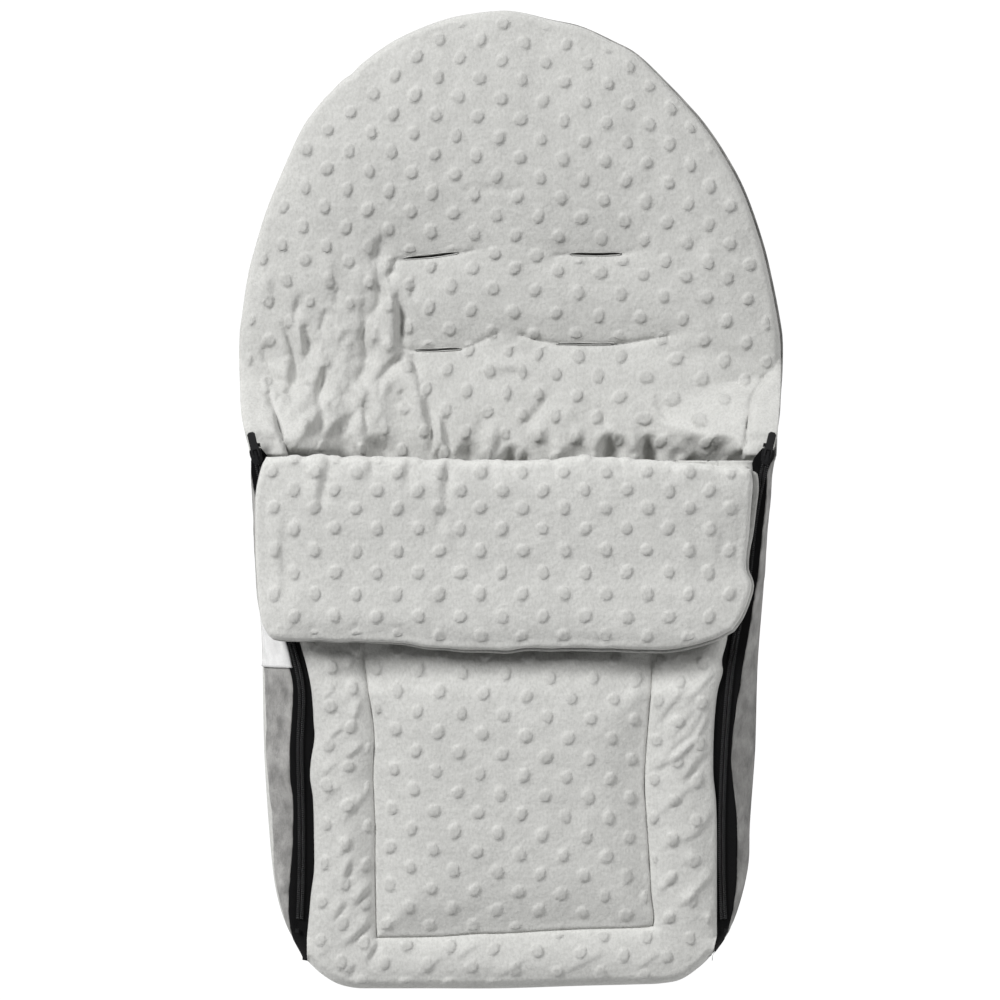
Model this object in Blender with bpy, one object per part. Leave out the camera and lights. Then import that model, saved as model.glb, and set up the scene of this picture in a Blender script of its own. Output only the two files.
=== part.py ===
"""A car seat footmuff, zipped up and lying on its back, in metres with +Z up.

The origin is on the floor, below the middle of its length and width. +Y points to the hood
and -Y to the foot end. Left is -X and right is +X, as seen from above with the hood at the
far end. The apron, its cuff and both zips lie in a plane that rises from the foot end to the
mouth. Pieces in that plane are modelled in its own frame: x across, u up along the apron from
the foot seam, and v square to the plane.
"""

import math

import bmesh
import bpy

# Plan of the back panel
TOTAL_LENGTH = 0.800
HOOD_LENGTH = 0.276  # from the widest line to the top of the hood
MOUTH_BELOW_WIDEST = 0.088  # from the widest line down to the fold of the cuff
MAX_WIDTH = 0.4452
MOUTH_WIDTH = 0.436
MIDDLE_WIDTH = 0.407
FOOT_WIDTH = 0.386
CORNER_LENGTH = 0.090
CORNER_WIDTH = 0.073

# Padded back panel, from the floor up
SHELL = 0.0020
LINING = 0.0022
RIM_HEIGHT = 0.0085
RIM_LAND = 0.012  # the flat strip that the side walls are sewn to
BACK_HEIGHT = 0.020
CROWN_RUN = 0.050
FOOT_RAMP = 0.150

# Slots for the seat's harness and crotch strap
UPPER_SLOT_DROP = 0.199  # from the top of the hood
LOWER_SLOT_DROP = 0.273
UPPER_SLOT_X = 0.0665
LOWER_SLOT_X = 0.0610
BUCKLE_SLOT_BELOW_MOUTH = 0.146
SLOT_LENGTH = 0.060
BUCKLE_SLOT_LENGTH = 0.045
SLOT_WIDTH = 0.0052
BINDING = 0.0012
BINDING_LIP = 0.0010
SEWN_DIP = 0.006  # how deep the stitches round a slot draw the padding in
SEWN_DIP_RUN = 0.019
SEWN_DIP_GRID = 0.040  # round the slots, where the mesh is finer

# Apron
APRON_ANGLE = math.radians(7.5)
FOOT_SEAM_INSET = 0.012
APRON_HALF = 0.0080
APRON_EDGE_HALF = 0.0035
APRON_SIDE_RUN = 0.022
APRON_CORNER = 0.035
PADDING_MARGIN = 0.008
CENTRE_SEAM_X = 0.1115
CENTRE_SEAM_U = 0.033
CHANNEL_DEPTH = 0.0035
CHANNEL_RUN = 0.006
FOLD_EDGE_HALF = 0.0030
FOLD_ROUND = 0.012

# Cuff, folded down over the apron
CUFF_LENGTH = 0.158
CUFF_WIDTH = 0.394
CUFF_HEIGHT = 0.016
CUFF_OUTER = 0.0018
CUFF_CORNER = 0.030
CUFF_RIM = 0.0055
CUFF_RUN = 0.024

# Side walls
WALL_SHELL = 0.0018
WALL_PADDING = 0.0026
WALL_LINING = 0.0015
SHELL_RISE = 0.0015  # its hem, over the zip's plane
WALL_BULGE = 0.004
WALL_FOOT_Y_INSET = 0.028
WALL_TAPER = 0.085
WALL_TAPER_HEIGHT = 0.004

# Zips
ZIP_WAIST = 0.343  # between the two zips where they come nearest
ZIP_WAIST_U = 0.119
ZIP_BOTTOM_U = 0.045  # where an open slider stops
ZIP_TO_WALL = 0.0053
ZIP_TO_APRON = 0.0085
TAPE = 0.0006
TAPE_SEWN = 0.006  # how far the tape reaches into the apron
TAPE_TAIL = 0.014
COIL_WIDTH = 0.00275
COIL_HEIGHT = 0.0021
STOP_LENGTH = 0.003

# Sliders and pull tabs
SLIDER_LENGTH = 0.014
SLIDER_WIDTH = 0.0095
SLIDER_PLATE = 0.0012
SLIDER_POST = 0.0014
SLIDER_RIM = 0.0007
BRIDGE_LENGTH = 0.009
BRIDGE_WIDTH = 0.0022
BRIDGE_BAR = 0.0009
PULL_LENGTH = 0.020
PULL_WIDTH = 0.0064
PULL_THICKNESS = 0.0010
PULL_ARM = 0.0012
PULL_EYE = 0.0056

# Blank label on the left wall
LABEL_BELOW_MOUTH = 0.136
LABEL_WIDTH = 0.038
LABEL_THICKNESS = 0.0008
LABEL_LOW = 0.12
LABEL_HIGH = 0.92

GAP = 0.0003
SHEET_GAP = 2 * GAP

# Places that follow from the sizes
HOOD_TOP_Y = TOTAL_LENGTH / 2
FOOT_Y = -TOTAL_LENGTH / 2
WIDEST_Y = HOOD_TOP_Y - HOOD_LENGTH
MOUTH_Y = WIDEST_Y - MOUTH_BELOW_WIDEST
CORNER_Y = FOOT_Y + CORNER_LENGTH
SPINE_END = MAX_WIDTH * 0.45
HINGE_Y = FOOT_Y + FOOT_SEAM_INSET
HINGE_Z = RIM_HEIGHT + GAP + APRON_HALF
FOLD_U = (MOUTH_Y - HINGE_Y) / math.cos(APRON_ANGLE)
FOLD_V = APRON_HALF + GAP
WALL = WALL_SHELL + WALL_PADDING + WALL_LINING + 2 * GAP
COIL_BASE = TAPE / 2 + GAP
COIL_TOP = COIL_BASE + COIL_HEIGHT
PLATE_LOW = -TAPE / 2 - GAP
PLATE_HIGH = COIL_TOP + GAP
PULL_AXIS_V = PLATE_HIGH + SLIDER_PLATE + 0.72 * PULL_THICKNESS + GAP

# The arc that each zip follows in the apron's plane, bulging towards the middle
ZIP_TOP_X = MOUTH_WIDTH / 2 - WALL - ZIP_TO_WALL
ZIP_SPREAD = ZIP_TOP_X - ZIP_WAIST / 2
ZIP_RUN = FOLD_U - ZIP_WAIST_U
ZIP_RADIUS = (ZIP_RUN**2 + ZIP_SPREAD**2) / (2 * ZIP_SPREAD)
ZIP_CENTRE_X = ZIP_WAIST / 2 + ZIP_RADIUS
ZIP_TOP_ANGLE = math.asin(ZIP_RUN / ZIP_RADIUS)
ZIP_BOTTOM_ANGLE = math.asin((ZIP_BOTTOM_U - ZIP_WAIST_U) / ZIP_RADIUS)

# Mesh steps
HOOD_STEPS = 10
SIDE_STEPS = 6
CORNER_STEPS = 5
ARC_STEPS = 10

SIDES = {"left": -1, "right": 1}


def ease(t):
    """0 up to 1 with level ends."""
    t = min(max(t, 0.0), 1.0)
    return t * t * (3 - 2 * t)


def swell(t):
    """0 up to 1 as a quarter circle rises, steep at first and level at the end."""
    t = min(max(t, 0.0), 1.0)
    return math.sqrt(1 - (1 - t) ** 2)


def blend(a, b, t):
    return a + (b - a) * t


def steps(first, last, count):
    return [blend(first, last, i / count) for i in range(count + 1)]


def smooth_through(knots, at):
    """The value at a place on a smooth curve through knots of (place, value), level at both ends."""
    slopes = [0.0]
    for (p0, v0), (p1, v1) in zip(knots[:-2], knots[2:]):
        slopes.append((v1 - v0) / (p1 - p0))
    slopes.append(0.0)
    for i in range(len(knots) - 1):
        (p0, v0), (p1, v1) = knots[i], knots[i + 1]
        if at <= p1 or i == len(knots) - 2:
            break
    run = p1 - p0
    t = min(max((at - p0) / run, 0.0), 1.0)
    return (
        v0 * (1 + 2 * t) * (1 - t) ** 2
        + slopes[i] * run * t * (1 - t) ** 2
        + v1 * t * t * (3 - 2 * t)
        - slopes[i + 1] * run * t * t * (1 - t)
    )


SIDE_KNOTS = (
    (CORNER_Y, FOOT_WIDTH / 2),
    ((CORNER_Y + MOUTH_Y) / 2, MIDDLE_WIDTH / 2),
    (MOUTH_Y, MOUTH_WIDTH / 2),
    (WIDEST_Y, MAX_WIDTH / 2),
)


def edge_x(y):
    """Half the back panel's width at y."""
    if y >= WIDEST_Y:
        return MAX_WIDTH / 2 * math.sqrt(max(0.0, 1 - ((y - WIDEST_Y) / HOOD_LENGTH) ** 2))
    if y > CORNER_Y:
        return smooth_through(SIDE_KNOTS, y)
    round_share = math.sqrt(max(0.0, 1 - ((CORNER_Y - y) / CORNER_LENGTH) ** 2))
    return FOOT_WIDTH / 2 - CORNER_WIDTH * (1 - round_share)


def outline():
    """The back panel's edge as (x, y), all the way round from the top of the hood."""
    quarter = math.pi / 2
    right = []
    for angle in steps(0, quarter, HOOD_STEPS)[1:]:
        right.append((MAX_WIDTH / 2 * math.sin(angle), WIDEST_Y + HOOD_LENGTH * math.cos(angle)))
    for y in steps(WIDEST_Y, CORNER_Y, SIDE_STEPS)[1:]:
        right.append((edge_x(y), y))
    for angle in steps(0, quarter, CORNER_STEPS)[1:]:
        x = FOOT_WIDTH / 2 - CORNER_WIDTH * (1 - math.cos(angle))
        right.append((x, CORNER_Y - CORNER_LENGTH * math.sin(angle)))
    left = [(-x, y) for x, y in reversed(right)]
    return [(0.0, HOOD_TOP_Y), *right, (0.0, FOOT_Y), *left]


def material(name, colour, roughness, metallic=0.0):
    made = bpy.data.materials.new(name)
    made.use_nodes = True
    shader = made.node_tree.nodes["Principled BSDF"]
    shader.inputs["Base Color"].default_value = (*colour, 1.0)
    shader.inputs["Roughness"].default_value = roughness
    shader.inputs["Metallic"].default_value = metallic
    return made


def add_object(name, mesh, surface, parent=None):
    """An object from a bmesh, with its faces turned outwards."""
    bmesh.ops.recalc_face_normals(mesh, faces=mesh.faces)
    data = bpy.data.meshes.new(name)
    mesh.to_mesh(data)
    mesh.free()
    data.shade_smooth()
    data.set_sharp_from_angle(angle=math.radians(40))
    made = bpy.data.objects.new(name, data)
    bpy.context.scene.collection.objects.link(made)
    if surface is not None:
        data.materials.append(surface)
    made.parent = parent
    return made


def add_empty(name, location, rotation=(0.0, 0.0, 0.0), parent=None):
    made = bpy.data.objects.new(name, None)
    made.location = location
    made.rotation_euler = rotation
    made.empty_display_size = 0.02
    made.parent = parent
    bpy.context.scene.collection.objects.link(made)
    return made


def hide_helper(helper):
    helper.hide_render = True
    helper.display_type = "WIRE"


def prism(mesh, loop, low, high):
    """Adds a closed prism to a bmesh, from a loop of (x, y) between two heights."""
    under = [mesh.verts.new((x, y, low)) for x, y in loop]
    over = [mesh.verts.new((x, y, high)) for x, y in loop]
    mesh.faces.new(under[::-1])
    mesh.faces.new(over)
    for i in range(len(loop)):
        j = (i + 1) % len(loop)
        mesh.faces.new((under[i], under[j], over[j], over[i]))


def grid_layer(name, rows, across, top, under, surface, parent, keep=None):
    """A closed sheet between two height functions, over a grid of rows that each have their own
    places across. keep says which cells of the grid it has, and all of them without it."""
    mesh = bmesh.new()
    xs = [across(u) for u in rows]
    cells = set()
    for i in range(len(rows) - 1):
        for j in range(len(xs[0]) - 1):
            if keep is None or keep(i, j):
                cells.add((i, j))
    points = {}

    def point(i, j, side):
        if (i, j, side) not in points:
            height = (top if side else under)(xs[i][j], rows[i])
            points[i, j, side] = mesh.verts.new((xs[i][j], rows[i], height))
        return points[i, j, side]

    for i, j in sorted(cells):
        corners = ((i, j), (i, j + 1), (i + 1, j + 1), (i + 1, j))
        mesh.faces.new([point(*corner, 1) for corner in corners])
        # Starting at the same corner gives both faces the same diagonal.
        mesh.faces.new([point(*corners[k], 0) for k in (0, 3, 2, 1)])
        beyond = ((i - 1, j), (i, j + 1), (i + 1, j), (i, j - 1))
        for k, neighbour in enumerate(beyond):
            if neighbour not in cells:
                a, b = corners[k], corners[(k + 1) % 4]
                mesh.faces.new((point(*a, 1), point(*a, 0), point(*b, 0), point(*b, 1)))
    return add_object(name, mesh, surface, parent)


def sweep(name, stations, section, surface, parent=None):
    """A closed bar: section gives the corners at each station, and the ends are capped."""
    mesh = bmesh.new()
    rings = [[mesh.verts.new(corner) for corner in section(at)] for at in stations]
    for one, other in zip(rings[:-1], rings[1:]):
        for i in range(len(one)):
            j = (i + 1) % len(one)
            face = (one[i], one[j], other[j], other[i])
            # The second half of a section runs back, so its faces start one corner on, which
            # gives the two sides of a sheet the same diagonals.
            mesh.faces.new(face if i < len(one) / 2 else (*face[1:], face[0]))
    mesh.faces.new(rings[0][::-1])
    mesh.faces.new(rings[-1])
    return add_object(name, mesh, surface, parent)


def box(mesh, low, high):
    loop = ((low[0], low[1]), (high[0], low[1]), (high[0], high[1]), (low[0], high[1]))
    prism(mesh, loop, low[2], high[2])


# Back panel


def crown(inset, y):
    """How far the back panel has swelled, from 0 on its rim to 1 in its middle."""
    return ease((inset - RIM_LAND) / CROWN_RUN) * ease((y - FOOT_Y) / FOOT_RAMP)


def from_slot(x, y):
    """The distance to the nearest slot."""
    nearest = TOTAL_LENGTH
    for _, centre, length in slots():
        past_end = max(abs(x - centre[0]) - length / 2, 0.0)
        nearest = min(nearest, math.hypot(past_end, y - centre[1]))
    return nearest


def back_top(inset, x, y):
    edge_drop = SHELL * (1 - swell(inset / SHELL / 2))
    dip = SEWN_DIP * math.exp(-((from_slot(x, y) / SEWN_DIP_RUN) ** 2))
    return RIM_HEIGHT - edge_drop + (BACK_HEIGHT - RIM_HEIGHT) * crown(inset, y) - dip


def lining_under(inset, x, y):
    return back_top(inset, x, y) - LINING


def shell_under(inset, x, y):
    return SHELL * (1 - swell(inset / SHELL / 4))


def shell_top(inset, x, y):
    return shell_under(inset, x, y) + SHELL


def padding_top(inset, x, y):
    return lining_under(inset, x, y) - GAP


def padding_under(inset, x, y):
    return SHELL + GAP


def back_plan(insets, finer_at_slots):
    """The back panel's plan, in rings that shrink from its edge onto its spine. A vertex's z
    holds how far in from the edge it lies, up to where the crown is full."""
    edge = outline()
    most = insets[-1]
    plan = bmesh.new()
    rings = []
    for k in range(len(insets) + 2):
        ring = []
        for x, y in edge:
            spine_y = min(max(y, FOOT_Y + SPINE_END), HOOD_TOP_Y - SPINE_END)
            reach = math.hypot(x, y - spine_y)
            inset = [*insets, (most + reach) / 2, reach][k]
            share = 1 - inset / reach
            place = (x * share, spine_y + (y - spine_y) * share, min(inset, most))
            ring.append(plan.verts.new(place))
        rings.append(ring)
    for one, other in zip(rings[:-1], rings[1:]):
        for i in range(len(edge)):
            j = (i + 1) % len(edge)
            plan.faces.new((one[i], other[i], other[j], one[j]))
    bmesh.ops.remove_doubles(plan, verts=plan.verts, dist=1e-6)
    if finer_at_slots:
        near = {v for v in plan.verts if from_slot(v.co.x, v.co.y) < SEWN_DIP_GRID}
        edges = [e for e in plan.edges if near.intersection(e.verts)]
        bmesh.ops.subdivide_edges(plan, edges=edges, cuts=2, use_grid_fill=True)
    bmesh.ops.triangulate(plan, faces=plan.faces)
    plan.verts.index_update()
    return plan


def lifted(name, plan, first_inset, top, under, surface):
    """A closed sheet between two heights over the part of a plan from first_inset inwards."""
    mesh = bmesh.new()
    points = {}
    for vert in plan.verts:
        x, y, inset = vert.co
        for side, height in ((1, top), (0, under)):
            points[side, vert.index] = mesh.verts.new((x, y, height(inset, x, y)))
    kept = {f for f in plan.faces if all(v.co.z > first_inset - GAP for v in f.verts)}
    for face in kept:
        corners = [v.index for v in face.verts]
        mesh.faces.new([points[1, i] for i in corners])
        mesh.faces.new([points[0, i] for i in reversed(corners)])
    for line in plan.edges:
        if len(kept.intersection(line.link_faces)) == 1:
            i, j = (v.index for v in line.verts)
            mesh.faces.new((points[1, i], points[1, j], points[0, j], points[0, i]))
    loose = [v for v in mesh.verts if not v.link_faces]
    bmesh.ops.delete(mesh, geom=loose, context="VERTS")
    return add_object(name, mesh, surface)


def slots():
    """Each slot's name, centre and length."""
    upper = HOOD_TOP_Y - UPPER_SLOT_DROP
    lower = HOOD_TOP_Y - LOWER_SLOT_DROP
    found = []
    for side, sign in SIDES.items():
        found.append((f"upper_slot_binding_{side}", (sign * UPPER_SLOT_X, upper), SLOT_LENGTH))
        found.append((f"lower_slot_binding_{side}", (sign * LOWER_SLOT_X, lower), SLOT_LENGTH))
    buckle = (0.0, MOUTH_Y - BUCKLE_SLOT_BELOW_MOUTH)
    found.append(("buckle_slot_binding", buckle, BUCKLE_SLOT_LENGTH))
    return found


def stadium(centre, length, width):
    """A slot's outline, with round ends."""
    radius = width / 2
    loop = []
    for end, start in ((1, -math.pi / 2), (-1, math.pi / 2)):
        for angle in steps(start, start + math.pi, 4):
            x = end * (length / 2 - radius) + radius * math.cos(angle)
            loop.append((centre[0] + x, centre[1] + radius * math.sin(angle)))
    return loop


def make_back(fleece, dimple, wadding, ribbon):
    rim = (0.0, 2 * SHELL, RIM_LAND)
    plain = back_plan(rim, False)
    shell = lifted("back_shell", plain, 0.0, shell_top, shell_under, fleece)
    swollen = back_plan((*rim, 0.030, RIM_LAND + CROWN_RUN), True)
    padding = lifted("back_padding", swollen, RIM_LAND, padding_top, padding_under, wadding)
    lining = lifted("back_lining", swollen, 0.0, back_top, lining_under, dimple)
    plain.free()
    swollen.free()

    holes = bmesh.new()
    grown = 2 * (BINDING + GAP)
    for _, centre, length in slots():
        loop = stadium(centre, length + grown, SLOT_WIDTH + grown)
        prism(holes, loop, -BACK_HEIGHT, 2 * BACK_HEIGHT)
    cutter = add_object("slot_cutter", holes, None)
    hide_helper(cutter)
    for layer in (shell, padding, lining):
        cut = layer.modifiers.new("slots", "BOOLEAN")
        cut.object = cutter

    for name, centre, length in slots():
        outer = stadium(centre, length + 2 * BINDING, SLOT_WIDTH + 2 * BINDING)
        inner = stadium(centre, length, SLOT_WIDTH)
        lip = BACK_HEIGHT - SEWN_DIP + BINDING_LIP
        add_object(name, ring_wall(outer, inner, GAP, lip), ribbon)


def ring_wall(outer, inner, low, high):
    """A bmesh of the wall between two loops with as many points each."""
    mesh = bmesh.new()
    levels = []
    for loop in (outer, inner):
        for height in (low, high):
            levels.append([mesh.verts.new((x, y, height)) for x, y in loop])
    outer_low, outer_high, inner_low, inner_high = levels
    pairs = (
        (outer_low, outer_high),
        (outer_high, inner_high),
        (inner_high, inner_low),
        (inner_low, outer_low),
    )
    for one, other in pairs:
        for i in range(len(outer)):
            j = (i + 1) % len(outer)
            mesh.faces.new((one[i], one[j], other[j], other[i]))
    return mesh


# Zips


def zip_x(u, outward=0.0):
    """Half the distance between the zips at u, or between lines that far outward of them."""
    return ZIP_CENTRE_X - math.sqrt((ZIP_RADIUS - outward) ** 2 - (u - ZIP_WAIST_U) ** 2)


def plane_z(y, v=0.0):
    """The height of the apron's plane at y, or of a surface v above it."""
    return HINGE_Z + (y - HINGE_Y) * math.tan(APRON_ANGLE) + v / math.cos(APRON_ANGLE)


def zip_stations():
    """Places along a zip, closer together where its tapes part above the closed slider."""
    low = steps(ZIP_BOTTOM_U - TAPE_TAIL, FOLD_U - TAPE_TAIL / 2, ARC_STEPS)
    return [*low, FOLD_U - 0.002, FOLD_U + 0.002, FOLD_U + 0.005, FOLD_U + TAPE_TAIL]


def zip_bar(name, sign, stations, profile, surface, parent):
    """A bar along one zip. profile gives its (outward, v) corners at u."""

    def section(u):
        return [(sign * zip_x(u, q), u, v) for q, v in profile(u)]

    return sweep(name, stations, section, surface, parent)


def rectangle(inner, outer, low, high):
    return ((inner, low), (outer, low), (outer, high), (inner, high))


def make_zip(side, sign, parents, tape, coil_nylon, metal):
    fixed, moving = parents
    wall_reach = ZIP_TO_WALL + WALL_LINING + WALL_PADDING - GAP

    def wall_tape(u):
        narrowing = WALL_PADDING * ease((u - FOLD_U) / TAPE_TAIL)
        widening = ease((u - ZIP_BOTTOM_U + TAPE_TAIL) / TAPE_TAIL)
        reach = blend(ZIP_TO_WALL, wall_reach, widening) - narrowing
        return rectangle(GAP / 2, reach, -TAPE / 2, TAPE / 2)

    def apron_tape(u):
        sewn = TAPE_SEWN * ease((FOLD_U - 0.002 - u) / TAPE_TAIL)
        parted = (SLIDER_POST + 2 * GAP) * ease((u - FOLD_U + 0.002) / 0.004)
        outer = -(ZIP_TO_APRON - 2 * GAP) - sewn
        return rectangle(outer, -GAP / 2 - parted, -TAPE / 2, TAPE / 2)

    zip_bar(f"zip_wall_tape_{side}", sign, zip_stations(), wall_tape, tape, fixed)
    zip_bar(f"zip_apron_tape_{side}", sign, zip_stations(), apron_tape, tape, moving)

    inner, outer = GAP, GAP + COIL_WIDTH
    chamfer = COIL_HEIGHT / 3

    def coil(turn):
        def profile(u):
            return (
                (turn * inner, COIL_BASE),
                (turn * outer, COIL_BASE),
                (turn * outer, COIL_TOP - chamfer),
                (turn * (outer - chamfer), COIL_TOP),
                (turn * inner, COIL_TOP),
            )

        return profile

    coiled = steps(ZIP_BOTTOM_U - SLIDER_LENGTH / 2, FOLD_U - 0.002, ARC_STEPS)
    zip_bar(f"zip_wall_coil_{side}", sign, coiled, coil(1), coil_nylon, fixed)
    zip_bar(f"zip_apron_coil_{side}", sign, coiled, coil(-1), coil_nylon, moving)

    top_stop = (FOLD_U + SLIDER_LENGTH / 2 + GAP, STOP_LENGTH)
    bottom_stop = (ZIP_BOTTOM_U - SLIDER_LENGTH / 2 - GAP - STOP_LENGTH, STOP_LENGTH)
    clear = SLIDER_POST + 3 * GAP
    for name, (start, length), reach, parent in (
        (f"zip_wall_top_stop_{side}", top_stop, (inner, outer), fixed),
        (f"zip_apron_top_stop_{side}", top_stop, (-clear - COIL_WIDTH, -clear), moving),
        (f"zip_bottom_stop_{side}", bottom_stop, (inner, outer), fixed),
    ):

        def block(u, reach=reach):
            return rectangle(*reach, COIL_BASE, COIL_TOP)

        zip_bar(name, sign, (start, start + length), block, metal, parent)


def make_slider(side, sign, track, metal, coated):
    """The slider in its own frame, x outward and y up along the zip, and its pull tab."""
    half_length, half_width = SLIDER_LENGTH / 2, SLIDER_WIDTH / 2
    tail_width = half_width - SLIDER_RIM
    corner = SLIDER_LENGTH / 6
    plate = (
        (-half_width, 0.0),
        (-tail_width, -half_length + corner),
        (-tail_width + corner, -half_length),
        (tail_width - corner, -half_length),
        (tail_width, -half_length + corner),
        (half_width, 0.0),
        (half_width, half_length - corner),
        (half_width - corner, half_length),
        (-half_width + corner, half_length),
        (-half_width, half_length - corner),
    )
    angle = ZIP_TOP_ANGLE
    holder = add_empty(
        f"zip_slider_place_{side}",
        (-sign * ZIP_RADIUS * math.cos(angle), ZIP_RADIUS * math.sin(angle), 0.0),
        (0.0, 0.0, -sign * angle),
        track,
    )
    mesh = bmesh.new()
    prism(mesh, plate, PLATE_LOW - SLIDER_PLATE, PLATE_LOW)
    slider = add_object(f"zip_slider_{side}", mesh, metal, holder)

    sunk = SLIDER_PLATE / 2
    roof = PLATE_HIGH + SLIDER_PLATE
    bridge_under = PULL_AXIS_V + 0.72 * PULL_THICKNESS + GAP
    top_plate = bmesh.new()
    prism(top_plate, plate, PLATE_HIGH, roof)
    post = bmesh.new()
    post_x = sorted((-sign * GAP / 2, -sign * (GAP / 2 + SLIDER_POST)))
    box(
        post,
        (post_x[0], half_length / 3, PLATE_LOW - sunk),
        (post_x[1], half_length - corner, PLATE_HIGH + sunk),
    )
    parts = [top_plate, post]
    for end in (-1, 1):
        rim = bmesh.new()
        rim_x = sorted((end * (half_width - SLIDER_RIM), end * (half_width - sunk / 4)))
        box(
            rim,
            (rim_x[0], corner / 2, TAPE / 2 + GAP),
            (rim_x[1], half_length - corner * 1.1, PLATE_HIGH + sunk),
        )
        leg = bmesh.new()
        leg_y = sorted((end * BRIDGE_LENGTH / 2, end * (BRIDGE_LENGTH / 2 - BRIDGE_BAR)))
        box(
            leg,
            (-BRIDGE_WIDTH / 2, leg_y[0], roof - sunk),
            (BRIDGE_WIDTH / 2, leg_y[1], bridge_under + BRIDGE_BAR / 2),
        )
        parts += [rim, leg]
    bar = bmesh.new()
    low = (-BRIDGE_WIDTH * 0.45, -BRIDGE_LENGTH * 0.48, bridge_under)
    box(bar, low, (-low[0], -low[1], bridge_under + BRIDGE_BAR))
    parts.append(bar)
    for i, part in enumerate(parts):
        helper = add_object(f"slider_helper_{side}_{i}", part, None, holder)
        hide_helper(helper)
        join = slider.modifiers.new(f"join_{i}", "BOOLEAN")
        join.operation = "UNION"
        join.object = helper

    pivot = add_empty(f"pull_axis_{side}", (0.0, 0.0, PULL_AXIS_V), parent=holder)
    half, arm = PULL_WIDTH / 2, PULL_ARM
    rear = -PULL_THICKNESS / 2
    cut = half / 2
    outer = (
        (-half, rear),
        (half, rear),
        (half, PULL_LENGTH - cut),
        (half - cut, PULL_LENGTH),
        (-half + cut, PULL_LENGTH),
        (-half, PULL_LENGTH - cut),
    )
    eye_end = PULL_EYE
    inner = (
        (-half + arm, -rear),
        (half - arm, -rear),
        (half - arm, eye_end - cut / 3),
        (half - arm - cut / 3, eye_end),
        (-half + arm + cut / 3, eye_end),
        (-half + arm, eye_end - cut / 3),
    )
    tab = ring_wall(outer, inner, -PULL_THICKNESS / 2, PULL_THICKNESS / 2)
    add_object(f"zip_pull_{side}", tab, coated, pivot)


# Side walls


def wall_stations():
    """Places along a side wall as y, from the foot end to the hood."""
    foot = FOOT_Y + WALL_FOOT_Y_INSET
    clear_of_slider = HINGE_Y + ZIP_BOTTOM_U
    end = MOUTH_Y + WALL_TAPER
    return [
        *steps(foot, clear_of_slider, 3),
        *steps(clear_of_slider, MOUTH_Y, 7)[1:],
        *steps(MOUTH_Y, end, 4)[1:],
    ]


def wall_place(y, share, depth, rise):
    """A point of the right side wall: share of the way up it, depth in from its outer face. rise
    is how high this layer's top edge stands over the zip's plane."""
    u = (y - HINGE_Y) / math.cos(APRON_ANGLE)
    foot_share = ease((y - FOOT_Y - WALL_FOOT_Y_INSET) / (ZIP_BOTTOM_U / 2))
    low_rise = PLATE_LOW - SLIDER_PLATE - SHEET_GAP
    top_z = plane_z(min(y, MOUTH_Y), blend(low_rise, rise, foot_share))
    bottom_x, bottom_z = edge_x(y), RIM_HEIGHT + GAP
    top_x = min(edge_x(y), zip_x(min(u, FOLD_U), ZIP_TO_WALL + WALL))
    if y > MOUTH_Y:
        top_x = edge_x(y)
        taper = ease((y - MOUTH_Y) / WALL_TAPER)
        top_z = blend(top_z, bottom_z + WALL_TAPER_HEIGHT, taper)
    bulge = WALL_BULGE * math.sin(math.pi * share) * (top_z - bottom_z) / HINGE_Z / 4
    bulge = min(bulge, WALL_BULGE * math.sin(math.pi * share))
    x = blend(bottom_x, top_x, share) + bulge - depth
    return x, y, blend(bottom_z, top_z, share)


WALL_SHARES = (0.0, 0.35, 0.7, 1.0)


def wall_layer(name, sign, span, depths, rise, surface):
    """A layer of a side wall between two depths in from its outer face."""

    def section(y):
        rim = [wall_place(y, share, depths[0], rise) for share in WALL_SHARES]
        rim += [wall_place(y, share, depths[1], rise) for share in reversed(WALL_SHARES)]
        return [(sign * x, y, z) for x, y, z in rim]

    return sweep(name, span, section, surface)


def between(values, at):
    """The neighbours of a place in a rising list, and its share of the way from one to the other."""
    for low, high in zip(values[:-1], values[1:]):
        if at <= high:
            break
    return low, high, (at - low) / (high - low)


def on_wall_facets(y, share, depth):
    """A place on the flat facets of the right wall's shell."""
    y0, y1, along = between(wall_stations(), y)
    low, high, up = between(WALL_SHARES, share)
    corners = [[wall_place(at, k, depth, SHELL_RISE) for k in (low, high)] for at in (y0, y1)]
    rows = [[blend(a, b, up) for a, b in zip(*pair)] for pair in corners]
    return [blend(a, b, along) for a, b in zip(*rows)]


def make_wall(side, sign, fleece, dimple, wadding):
    padding_in = WALL_SHELL + GAP
    lining_in = padding_in + WALL_PADDING + GAP
    under_tape = -TAPE / 2 - GAP
    span = wall_stations()
    wall_layer(f"side_wall_shell_{side}", sign, span, (0.0, WALL_SHELL), SHELL_RISE, fleece)
    depths = (padding_in, padding_in + WALL_PADDING)
    wall_layer(f"side_wall_padding_{side}", sign, span, depths, under_tape, wadding)
    wall_layer(f"side_wall_lining_{side}", sign, span, (lining_in, WALL), under_tape, dimple)


def make_label(satin):
    """A blank tag that lies on the left wall, from under the cuff's corner."""
    high = MOUTH_Y - LABEL_BELOW_MOUTH
    low = high - LABEL_WIDTH
    span = [low, *(y for y in wall_stations() if low < y < high), high]
    shares = (LABEL_LOW, *WALL_SHARES[1:-1], LABEL_HIGH)
    sign = SIDES["left"]

    def section(y):
        rim = [on_wall_facets(y, share, -SHEET_GAP - LABEL_THICKNESS) for share in shares]
        rim += [on_wall_facets(y, share, -SHEET_GAP) for share in reversed(shares)]
        return [(sign * x, y, z) for x, y, z in rim]

    sweep("blank_label", span, section, satin)


# Apron


def apron_x(u):
    """Half the apron's width at u, with round corners at the foot end."""
    full = zip_x(u, -ZIP_TO_APRON)
    into_corner = APRON_CORNER - APRON_HALF - u
    if into_corner <= 0:
        return full
    return full - APRON_CORNER + math.sqrt(APRON_CORNER**2 - into_corner**2)


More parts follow.
